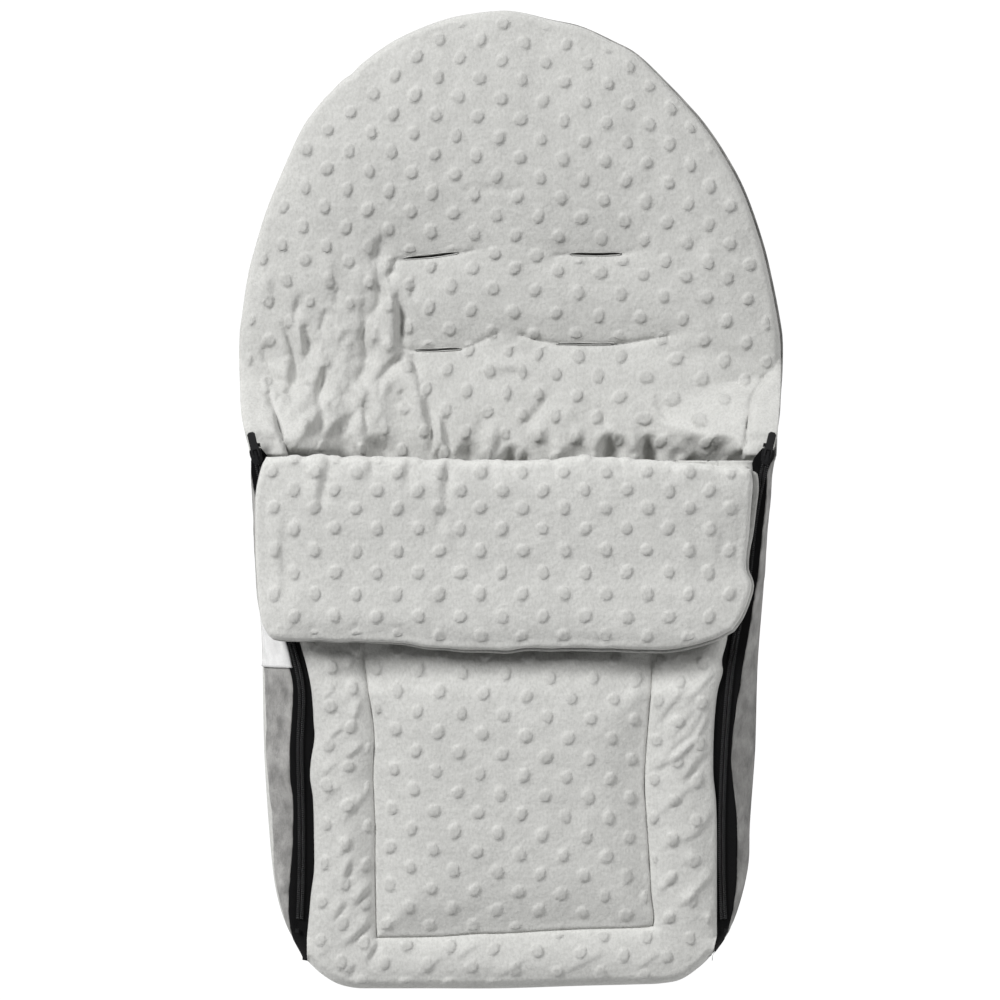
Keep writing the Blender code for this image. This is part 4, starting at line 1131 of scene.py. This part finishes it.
apron_step = 0.0018
fine_shares = {
    "left": shares(0.055, apron_step, 0.008, 0.0, 0.0007),
    "middle": shares(0.224, apron_step, 0.006, 0.006, 0.0008),
    "right": shares(0.058, apron_step, 0.0, 0.008, 0.0007),
    "low": shares(0.045, apron_step, 0.012, 0.006, 0.0006),
    "high": shares(0.388, apron_step, 0.006, 0.0, 0.0008),
}
coarse_counts = {"left": 12, "middle": 45, "right": 12, "low": 10, "high": 78}
coarse_shares = {part: np.linspace(0, 1, count) for part, count in coarse_counts.items()}


def block_shares(name, table):
    return table[name.split("_")[0]], table["low" if name.endswith("low") else "high"]


def larger_block(name, xy, top):
    """A block's cloth as it was cut, which makes it gather beside the seams."""
    larger = top.copy()
    up = xy[..., 1] + 0.25
    if "middle" in name:
        larger[..., :2] += 0.025 * (xy - np.array([0, -0.25]))
    else:
        away = xy[..., 0] - (-0.113 if "left" in name else 0.113)
        larger[..., 1] += 0.09 * up
        slant = 0.10 * up * (0.6 if "left" in name else 1) * ease(np.abs(away) / 0.03)
        larger[..., 0] += 0.06 * away - slant
    return larger


coarse_pairs, holds, cuts = [], [], []
for name, lines in apron_blocks.items():
    xy = coons(*lines, *block_shares(name, coarse_shares))
    top, under, (zip_gap, foot_gap, seam_gap, shown) = apron_surface(xy)
    coarse_pairs.append((top, under))
    free = (zip_gap > 0.003) & (foot_gap > 0.003) & (seam_gap > 0.002) & (shown > 0.01)
    holds.append(1 - free.astype(float))
    cuts.append(larger_block(name, xy, top))
swelled = puffed(coarse_pairs, holds, cuts, 5, 0.006)
border_pairs, border_keys, border_near = [], [], []
for (name, lines), (before, _), after in zip(apron_blocks.items(), coarse_pairs, swelled):
    u, v = block_shares(name, fine_shares)
    xy = coons(*lines, u, v)
    top, under, (zip_gap, foot_gap, seam_gap, shown) = apron_surface(xy)
    edge = np.minimum(zip_gap, foot_gap)
    moved = finer(after - before, u, v)
    settled = ease(edge / 0.006) * ease(seam_gap / 0.004) * shown
    top += moved * settled[..., None]
    if name != "middle":
        folds = pleats(xy, APRON_FOLDS, APRON_Z, 0.009, 0.0040) * 1.1
        folds += ridges(xy, APRON_CREASES, APRON_Z) * 0.7
        top[..., 2] += folds * ease(edge / 0.007) * ease(seam_gap / 0.004) * shown
    clear = ease((edge - 0.002) / 0.006) * ease((seam_gap - 0.0005) / 0.004)
    height, near = dots(xy[..., 0], xy[..., 1], APRON_DOTS)
    height = height * clear * (0.3 + 0.7 * shown)
    height += 0.00022 * rough(xy[..., 0], xy[..., 1], 0.012, 31) * ease(edge / 0.01)
    top += normals(top) * height[..., None]
    near = near * clear
    if name == "middle":
        panel = solid(
            "apron_panel_quilt", [(top, under)], "apron", painted_light_dimple, near=[near]
        )
    else:
        border_pairs.append((top, under))
        border_keys.append(xy)
        border_near.append(near)
border = solid(
    "apron_border_quilt", border_pairs, None, painted_light_dimple,
    keys=border_keys, near=border_near,
)
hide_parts("apron_border")
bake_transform(border)
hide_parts("apron_centre_panel", "apron_padding")

# The apron's lining, seen when it is open

lining_left = drawn_in(apron_left, -0.002, -0.002)
lining_right = drawn_in(apron_right, 0.002, 0.002)
low_y, high_y = -0.371, top_y - 0.002
for line in (lining_left, lining_right):
    line[:, 1] = np.interp(np.linspace(0, 1, len(line)), [0, 1], [low_y, high_y])
lining_step = 0.0026
xy = coons(
    straight(lining_left[0], lining_right[0]),
    straight(lining_left[-1], lining_right[-1]),
    lining_left,
    lining_right,
    shares(0.34, lining_step, 0.006, 0.006, 0.0008),
    shares(0.42, lining_step, 0.006, 0.006, 0.0008),
)
y = xy[..., 1]
inset = np.minimum(distance(xy, lining_left, lining_right), np.minimum(y - low_y, high_y - y))
height, _ = dots(xy[..., 0], y, APRON_DOTS, 0.0012)
height = height * ease((inset - 0.004) / 0.006)
lining_top = np.dstack([xy, plane_z(y, -0.0048)])
lining_under = np.dstack([xy, plane_z(y, -0.0054 - 0.0014 * swell(inset / 0.005) - height)])
lining = lining_top, lining_under
apron_lining = solid("apron_lining_fleece", [lining], "apron", dimple)
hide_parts("apron_lining")

# Cuff: the apron's top folded down, lining side up, with its layered hem

CUFF_Z = plane_z(-0.04, FOLD_V + 0.014)
CUFF_FOLD = [
    (266, 457), (330, 456), (400, 458), (460, 460), (520, 461), (575, 457), (640, 460), (700, 464),
    (751, 469),
]
CUFF_LEFT = [
    (269, 636), (262, 624), (258, 600), (256, 575), (255, 550), (255, 520), (256, 493), (261, 470),
    (266, 457),
]
CUFF_FOOT = [
    (269, 636), (276, 640), (290, 641), (330, 641.5), (390, 643), (440, 648.5), (500, 651),
    (530, 648.3), (600, 649), (655, 650.6), (681, 648.5), (708, 642), (733, 630),
]
CUFF_RIGHT = [
    (733, 630), (742, 617), (749, 600), (752.5, 584), (747, 570), (747.5, 550), (749.5, 536),
    (751.5, 505), (753, 484), (751, 469),
]
cuff_lines = [
    smooth_line(at(points, CUFF_Z)) for points in (CUFF_FOOT, CUFF_FOLD, CUFF_LEFT, CUFF_RIGHT)
]
for line, reach in zip(cuff_lines[:2], (0.0005, 0.0013)):
    ends = ease(np.minimum(np.arange(len(line)), np.arange(len(line))[::-1]) / 4)
    line[:, 1] += reach * ends * rough(line[:, 0], line[:, 0] * 0, 0.014, 43)
cuff_rows = [456, 471.6, 489.7, 507.5, 528, 550, 572, 593.5, 616, 637, 658]
CUFF_DOTS = lattice((522.5, 471.6), 41.6, cuff_rows, -1, 0.0, CUFF_Z)
CUFF_FOLDS = [
    (-2.6, 3.4, (331, 458), (326, 480), (320, 506)), (2.0, 5.0, (322, 458), (316, 482), (312, 504)),
    (-1.6, 4.0, (286, 520), (284, 560), (287, 604)), (1.8, 6.0, (275, 520), (274, 560), (277, 604)),
    (-2.4, 3.2, (449, 457), (447, 478), (446, 502)), (2.0, 5.0, (440, 457), (438, 480), (438, 502)),
    (-1.6, 3.0, (410, 456), (409, 482)), (1.4, 4.0, (402, 456), (401, 480)),
    (-1.4, 3.6, (442, 506), (438, 532)), (-1.2, 4.0, (454, 522), (458, 562)),
    (1.0, 8.0, (430, 560), (432, 600)), (-1.0, 5.0, (690, 520), (702, 560)),
    (-1.2, 4.0, (724, 530), (722, 560)), (1.8, 7.0, (290, 606), (291, 618)),
    (-1.6, 3.0, (313, 628), (312, 642)), (-1.6, 3.0, (356, 626), (355, 642)),
    (-1.4, 3.0, (399, 630), (398, 643)), (-1.4, 3.0, (441, 636), (440, 648)),
    (-1.4, 3.0, (522, 638), (520, 652)), (-1.4, 3.0, (602, 637), (600, 650)),
    (-1.4, 3.0, (690, 632), (686, 645)), (-1.2, 3.0, (563, 640), (560, 652)),
    (-1.6, 3.0, (374, 457), (371, 476)), (1.4, 4.0, (366, 457), (364, 474)),
    (-1.6, 3.0, (490, 459), (491, 474)), (-1.2, 3.0, (552, 457), (554, 470)),
    (-1.2, 3.0, (620, 458), (622, 470)), (-1.2, 3.0, (672, 460), (671, 474)),
    (1.2, 9.0, (340, 540), (338, 590)),
]


def hem_lift(y):
    """The cuff's hem stands a little off the apron."""
    return 0.0100 * ease((-0.050 - y) / 0.070)


def cuff_surface(u, v, lines):
    """(top grid, under grid, how far from the hem, how far from the fold) of the cuff."""
    xy = coons(*lines, u, v)
    x, y = xy[..., 0], xy[..., 1]
    foot, fold, left, right = lines
    hem_gap, front_gap = distance(xy, foot, left, right), distance(xy, fold)
    thick = FOLD_V + 0.0040 + 0.0062 * swell(hem_gap / 0.0055)
    thick += 0.0036 * ease(hem_gap / 0.055) + 0.0006 * rough(x, y, 0.05, 41)
    front = swell(front_gap / 0.007)
    lifted = hem_lift(y)
    top_v = FOLD_V + 0.0022 + (thick - FOLD_V - 0.0022) * front + lifted
    under_v = FOLD_V + 0.0022 + 0.0008 * fade(hem_gap / 0.004) + lifted
    under_v = np.minimum(under_v, top_v - 0.0004)
    grids = np.dstack([xy, plane_z(y, top_v)]), np.dstack([xy, plane_z(y, under_v)])
    return *grids, hem_gap, front_gap


coarse_u, coarse_v = np.linspace(0, 1, 84), np.linspace(0, 1, 34)
top, under, hem_gap, front_gap = cuff_surface(coarse_u, coarse_v, cuff_lines)
larger = top.copy()
larger[..., 0] *= 1.02 + 0.03 * bump(top[..., 1], 0.03, 0.02)
larger[..., 1] = -0.04 + (top[..., 1] + 0.04) * 1.015
hold = 1 - ((hem_gap > 0.003) & (front_gap > 0.003)).astype(float)
swelled = puffed([(top, under)], [hold], [larger], 4, 0.004)[0]
u = shares(0.40, STEP * 0.95, 0.010, 0.010, 0.0007)
v = shares(0.16, STEP * 0.95, 0.010, 0.010, 0.0005)
moved = finer(swelled - top, u, v)
top, under, hem_gap, front_gap = cuff_surface(u, v, cuff_lines)
xy = top[..., :2].copy()
x, y = xy[..., 0], xy[..., 1]
top += moved * ease(np.minimum(hem_gap, front_gap) / 0.006)[..., None]
folds = ridges(xy, CUFF_FOLDS, CUFF_Z)
top[..., 2] += folds * ease(hem_gap / 0.005) * ease((front_gap + 0.001) / 0.004)
height, near = dots(x, y, CUFF_DOTS)
height = height * ease((hem_gap - 0.001) / 0.006)
height += 0.0002 * rough(x, y, 0.012, 42) * ease((hem_gap - 0.002) / 0.008)
top += normals(top) * height[..., None]
near = near * ease((hem_gap - 0.001) / 0.006) * ease((front_gap + 0.001) / 0.006)
cuff_quilt = solid("cuff_quilt", [(top, under)], "cuff", painted_light_dimple, near=[near])
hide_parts("cuff_lining", "cuff_padding")

# The plain layer under it, which shows past the hem below and on the right

hem_lines = [
    drawn_in(cuff_lines[0], -0.001, -0.001, -0.0018, -0.0026, -0.0028, -0.0028, -0.0024),
    drawn_in(cuff_lines[1], -0.004, -0.004),
    drawn_in(cuff_lines[2], 0.0004, 0.0008),
    drawn_in(cuff_lines[3], -0.0024, -0.0022, -0.0022, -0.0026, -0.0040, -0.0052, -0.0048),
]
for first, a, second, b in ((0, 0, 2, 0), (0, -1, 3, 0), (1, 0, 2, -1), (1, -1, 3, -1)):
    corner = (hem_lines[first][a] + hem_lines[second][b]) / 2
    hem_lines[first][a] = hem_lines[second][b] = corner
hem_u, hem_v = (shares(length, 0.004, 0.008, 0.008, 0.0006) for length in (0.40, 0.16))
xy = coons(*hem_lines, hem_u, hem_v)
x, y = xy[..., 0], xy[..., 1]
gap = distance(xy, hem_lines[0], hem_lines[2], hem_lines[3])
hem_top = FOLD_V + 0.0008 + 0.0012 * swell(gap / 0.0022) - 0.0010 * ease((gap - 0.003) / 0.001)
hem_top = hem_top + 0.0002 * rough(x, y, 0.01, 51) + hem_lift(y)
hem_under = FOLD_V + 0.0001 + 0.0004 * (gap < 0.0005) + hem_lift(y)
hem = np.dstack([xy, plane_z(y, hem_top)]), np.dstack([xy, plane_z(y, hem_under)])
cuff_back = solid("cuff_back_fleece", [hem], "cuff", hem_grey)
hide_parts("cuff_outer")

# The turn of the fold, which joins the apron's lining and the cuff

turn_profile = [
    (-0.018, -0.0066), (-0.011, -0.0086), (-0.0080, -0.0074), (-0.0062, -0.0030), (-0.0056, 0.0020),
    (-0.0058, 0.0070), (-0.0074, 0.0100), (-0.0110, 0.0106),
]
turn_line = smooth_line(turn_profile, 0.0012)
inner_line = turn_line + leftward(turn_line) * 0.0016
across = np.linspace(-0.197, 0.190, 130)


def strip(line, offset):
    """Grid of a line in the apron's frame, swept across the fold."""
    u = line[:, 0][None] + FOLD_U - 0.0028 * ease((across[:, None] - 0.10) / 0.08)
    y, z = raised(u, line[:, 1][None] + offset[:, None])
    return np.dstack([across[:, None] + 0 * u, y, z])


wave = 0.0005 * noise(across / 0.02, across * 0, 61)
strips = strip(turn_line, wave), strip(inner_line, wave)
fold_turn = solid("fold_turn", [strips], None, painted_light_dimple)
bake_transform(fold_turn)

# Side walls

WALL_EDGE = {
    -1: [
        (294, 942), (291.5, 930), (289.5, 905), (291, 880), (293.5, 850), (294, 800), (291, 778),
        (291.5, 740), (294, 690), (289, 662), (283, 640),
    ],
    1: [
        (722, 944), (726, 934), (731, 915), (734.5, 892), (736, 870), (736, 824), (731.5, 778),
        (730, 755), (735, 710), (739, 686), (742.5, 662), (747.5, 636), (752, 605), (757, 574),
        (761, 535), (765, 497), (767, 470),
    ],
}


def wall_edge_x(y, side):
    """x of the fleece's edge beside the zip."""
    shown = on_apron(WALL_EDGE[side], 0.002)
    hidden = hidden_edge(side, -0.0064)
    hidden = hidden[hidden[:, 1] > shown[-1, 1] + 0.01][::-1]
    line = smooth_line(np.vstack([shown, hidden]))
    return np.interp(y, line[:, 1], line[:, 0])


def wall_section(y, side, share):
    """(x, z) of the wall's outside, from the rim at share 0 to its top at share 1. Unsigned x."""
    rim = np.abs(edge_x(y, side)) - 0.0006
    top = np.minimum(np.abs(wall_edge_x(y, side)) + 0.0015, rim - 0.0005)
    top = top + 0.0005 * rough(y, 0 * y, 0.008, 74 + side)
    beyond = ease((y - MOUTH_Y + 0.01) / 0.03)
    top = top + (rim - 0.0020 - top) * beyond
    z0, z1 = 0.0062, wall_top_z(y) - 0.0025 - 0.0007 * beyond
    height = z1 - z0
    bulge = 0.0020 * np.sin(math.pi * share) * np.clip(height / 0.05, 0, 1)
    wrinkle = 0.0009 * rough(y, share * 0.05, 0.03, 70 + side) * np.sin(math.pi * share)
    x = rim + (top - rim) * share**1.25 + bulge + wrinkle
    return np.minimum(x, rim + 0.0006), z0 + height * share


def wall_face(y, side, share, over):
    """Grid of the wall's outside, which then turns in over its top by these steps in and up."""
    yy, ss = np.meshgrid(y, share, indexing="ij")
    x, z = wall_section(yy, side, ss)
    x = np.hstack([x, x[:, -1:] - over[..., 0]])
    z = np.hstack([z, z[:, -1:] + over[..., 1]])
    return np.dstack([side * x, np.repeat(y[:, None], x.shape[1], 1), z])


LIP = np.array([(0.0005, -0.0001), (0.0010, -0.0006), (0.0014, -0.0012), (0.0015, -0.0020)])


def side_wall(side, hand):
    """The wall's fleece, which turns in over the top and down onto the tape."""
    y = np.concatenate([np.arange(WALL_FOOT_Y, WALL_MOUTH_Y, 0.003), [WALL_MOUTH_Y]])
    over = LIP[None] * fade((y - MOUTH_Y + 0.012) / 0.02)[:, None, None]
    outer = wall_face(y, side, np.linspace(0, 1, 18), over)
    inner_face = outer + side * normals(outer) * 0.0010
    name = f"side_wall_fleece_{hand}"
    pairs = [(outer, inner_face)]
    wall = solid(name, pairs, "back", plain_grey, turn=side > 0)
    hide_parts(f"side_wall_shell_{hand}")


def wall_ring(y, side):
    """A section of the wall's padded lining: up inside the fleece, over and down to the floor."""
    wall_x, wall_z = wall_section(np.full(12, y), side, np.linspace(0.10, 1, 12))
    sink = float(ease((y - 0.028) / 0.010))
    foot_end = float(fade((y + 0.350) / 0.05))
    top_x = wall_x[-1] - 0.0055
    top_z = wall_z[-1] - 0.0034 - 0.0030 * sink - 0.0050 * foot_end
    ring = [(wall_x[k] - 0.0030, min(wall_z[k], top_z - 0.0002)) for k in range(11)]
    ring.append((top_x, top_z))
    for t in np.linspace(0.12, 1, 12):
        wide = math.sin(t * math.pi / 2) * 0.75 + t * 0.25
        drop = (1 - math.cos(t * math.pi / 2)) * 0.8 + t * 0.2
        ring.append((top_x - 0.0056 * wide, top_z + (0.0100 - top_z) * drop))
    ring.append((wall_x[-1] - 0.0081, 0.0096))
    return [(side * x, y, z) for x, z in ring]


def wall_roll(side, hand):
    """The padded lining inside a wall."""
    rings = [wall_ring(y, side) for y in np.arange(-0.350, 0.0551, 0.004)]
    wall_lining = loft(f"side_wall_lining_roll_{hand}", rings, "back", plain_light)
    wall_lining.modifiers.new("smooth", "SUBSURF").levels = 1
    wall_lining.modifiers["smooth"].render_levels = 1
    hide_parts(f"side_wall_lining_{hand}", f"side_wall_padding_{hand}")


# Zips

ZIP_FOOT_U = 0.046
COIL_PITCH, COIL_POINTS = 0.0016, 8
WIRE_RADIUS = 0.00044


def zip_tape(part, side, hand, body, sign, u, near, far):
    """A zip's woven tape from near to far beside it, with a beaded edge at the coil."""
    t = np.linspace(0, 1, 9)[None]
    x = near[:, None] + (far - near)[:, None] * t
    v = 0.00025 + (0.00025 * noise(u / 0.012, u * 0, 91 + sign))[:, None] * t
    v[:, :2] += 0.0002
    y, z = raised(u[:, None], v)
    if part == "wall":
        z = z + (0.0100 - z) * (fade((u - 0.018) / 0.030)[:, None] * t**1.5)
    tape_top = np.dstack([side * x, y, z])
    tape_under = tape_top - np.array([0, 0, 0.0006])
    name = f"zip_{part}_tape_weave_{hand}"
    pairs = [(tape_top, tape_under)]
    tape = solid(name, pairs, body, tape_cloth, turn=sign * side < 0)
    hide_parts(f"zip_{part}_tape_{hand}")


def zip_coil(part, side, hand, body, sign):
    """Half of a zip's teeth: a flattened winding of monofilament."""
    u = np.arange(ZIP_FOOT_U, FOLD_U - 0.004, COIL_PITCH / COIL_POINTS)
    turns = (u - u[0]) / COIL_PITCH * 2 * math.pi + (math.pi if sign > 0 else 0)
    x = zip_x(u, side) + sign * (0.00155 + 0.00125 * np.cos(turns))
    path = np.column_stack([side * x, *raised(u, 0.00165 + 0.00080 * np.sin(turns))])
    tangent = unit(np.gradient(path, axis=0))
    first = unit(np.cross(tangent, np.array([0.0, 1.0, 0.2])))
    second = np.cross(tangent, first)
    angle = np.linspace(0, 2 * math.pi, 5, endpoint=False)[None, :, None]
    rings = path[:, None] + WIRE_RADIUS * np.cos(angle) * first[:, None]
    rings = rings + WIRE_RADIUS * np.sin(angle) * second[:, None]
    coil = loft(f"zip_{part}_coil_wire_{hand}", rings, body, coil_plastic)
    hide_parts(f"zip_{part}_coil_{hand}")


def closed_zip(side, hand):
    """Both halves of a zip between the wall's fleece and the apron's."""
    u = np.concatenate([np.arange(0.0105, FOLD_U + 0.006, 0.0025), [FOLD_U + 0.006]])
    y = HINGE_Y + u * COS
    middle = zip_x(u, side)
    rim = np.abs(edge_x(y, side)) + 0.0003 - 0.0010 * ease((y + 0.362) / 0.008)
    wall_x = np.minimum(np.abs(wall_edge_x(y, side)) + 0.0008, rim)
    wall_x = rim + (wall_x - rim) * ease((y + 0.364) / 0.010)
    line = apron_left if side < 0 else apron_right
    apron_x = np.abs(np.interp(y, line[:, 1], line[:, 0])) - 0.003
    # below the zip's end the wall's tape fills in between the apron and the rim
    ending = fade((u - ZIP_FOOT_U) / 0.008)
    wall_near = middle + 0.0003 + (apron_x + 0.001 - middle) * ending
    wall_near = np.minimum(wall_near, rim - 0.0008)
    tail = np.clip((FOLD_U + 0.012 - u) / 0.016, 0.3, 1)
    for part, body, near, far, sign, foot_u in (
        ("wall", "back", wall_near, wall_x, 1, 0.0),
        ("apron", "apron", middle - 0.0003, apron_x, -1, ZIP_FOOT_U),
    ):
        keep = u > foot_u
        reach = near + (far - near) * tail
        zip_tape(part, side, hand, body, sign, u[keep], near[keep], reach[keep])
        zip_coil(part, side, hand, body, sign)


for side, hand in ((-1, "left"), (1, "right")):
    side_wall(side, hand)
    wall_roll(side, hand)
    closed_zip(side, hand)

# The blank satin label on the left wall, half under the cuff

label_over = np.array([[(0.0010, 0.0006), (0.0022, 0.0006), (0.0034, 0.0002)]])
face = wall_face(np.linspace(-0.1362, -0.090, 26), -1, np.linspace(0.06, 1, 16), label_over)
n = -normals(face)
y, up = face[..., 1], np.linspace(0, 1, face.shape[1])[None]
curl = 0.0006 + 0.0016 * ease((-0.128 - y) / 0.010) * (0.4 + 0.6 * (1 - up))
curl = curl + 0.0002 * rough(y, 0.03 * up, 0.008, 95)
label_top = face - n * curl[..., None]
label = solid("satin_label_blank", [(label_top, label_top + n * 0.0004)], "back", satin)
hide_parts("blank_label")

for name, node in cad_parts.items():
    for words, material in (("zip_slider", enamel), ("zip_pull", rubber), ("stop", enamel)):
        if words in name:
            node.data.materials.clear()
            node.data.materials.append(material)

# Floor and light

floor_mesh = bpy.data.meshes.new("floor")
floor_corners = [(-6, -6, 0), (6, -6, 0), (6, 6, 0), (-6, 6, 0)]
floor_mesh.from_pydata(floor_corners, [], [(0, 1, 2, 3)])
floor = bpy.data.objects.new("floor", floor_mesh)
floor.location.z = -0.0002
scene.collection.objects.link(floor)
white, tree, main = shader("floor_white", (0.86, 0.86, 0.86), 0.9)
tint = ramp(tree, noise_node(tree, 3, 2), (0.3, 0.84), (0.7, 0.87))
tree.links.new(tint, main.inputs["Base Color"])


def mixed(tree, share, first, second, output):
    """Joins two shaders into a tree's output."""
    mix = tree.nodes.new("ShaderNodeMixShader")
    tree.links.new(share, mix.inputs["Fac"])
    tree.links.new(first, mix.inputs[1])
    tree.links.new(second, mix.inputs[2])
    tree.links.new(mix.outputs["Shader"], tree.nodes[output].inputs["Surface"])


# to the camera, also through gloss or glass, the floor glows, so that it shows as plain white
glow = fill(tree.nodes.new("ShaderNodeEmission"), Strength=1.08)
rays = tree.nodes.new("ShaderNodeLightPath").outputs
seen = maths(tree, "MAXIMUM", rays["Is Camera Ray"], rays["Is Glossy Ray"])
seen = maths(tree, "MAXIMUM", seen, rays["Is Transmission Ray"])
glowing = maths(tree, "MULTIPLY", seen, 0.93)
mixed(tree, glowing, main.outputs["BSDF"], glow.outputs["Emission"], "Material Output")
floor_mesh.materials.append(white)


def area_light(name, place, size, power):
    """A round lamp that shines on the origin."""
    lamp = bpy.data.lights.new(name, "AREA")
    lamp.shape = "DISK"
    lamp.size = size
    lamp.energy = power
    obj = bpy.data.objects.new(name, lamp)
    obj.location = place
    obj.rotation_mode = "QUATERNION"
    obj.rotation_quaternion = (-Vector(place)).to_track_quat("-Z", "Y")
    scene.collection.objects.link(obj)


area_light("key", (-4.50, 3.30, 4.40), 2.8, 525)
area_light("fill", (3.80, 2.20, 2.90), 1.8, 100)
area_light("low", (0.40, -3.60, 1.00), 1.2, 25)

# The world is white to the camera, and a weak light to all else
world = bpy.data.worlds.new("world")
world.use_nodes = True
scene.world = world
tree = world.node_tree
background = fill(tree.nodes["Background"], Color=(1, 1, 1, 1), Strength=0.13)
clear = fill(tree.nodes.new("ShaderNodeBackground"), Strength=1.0)
rays = tree.nodes.new("ShaderNodeLightPath").outputs
backs = background.outputs["Background"], clear.outputs["Background"]
mixed(tree, rays["Is Camera Ray"], *backs, "World Output")
scene.view_settings.view_transform = "Standard"
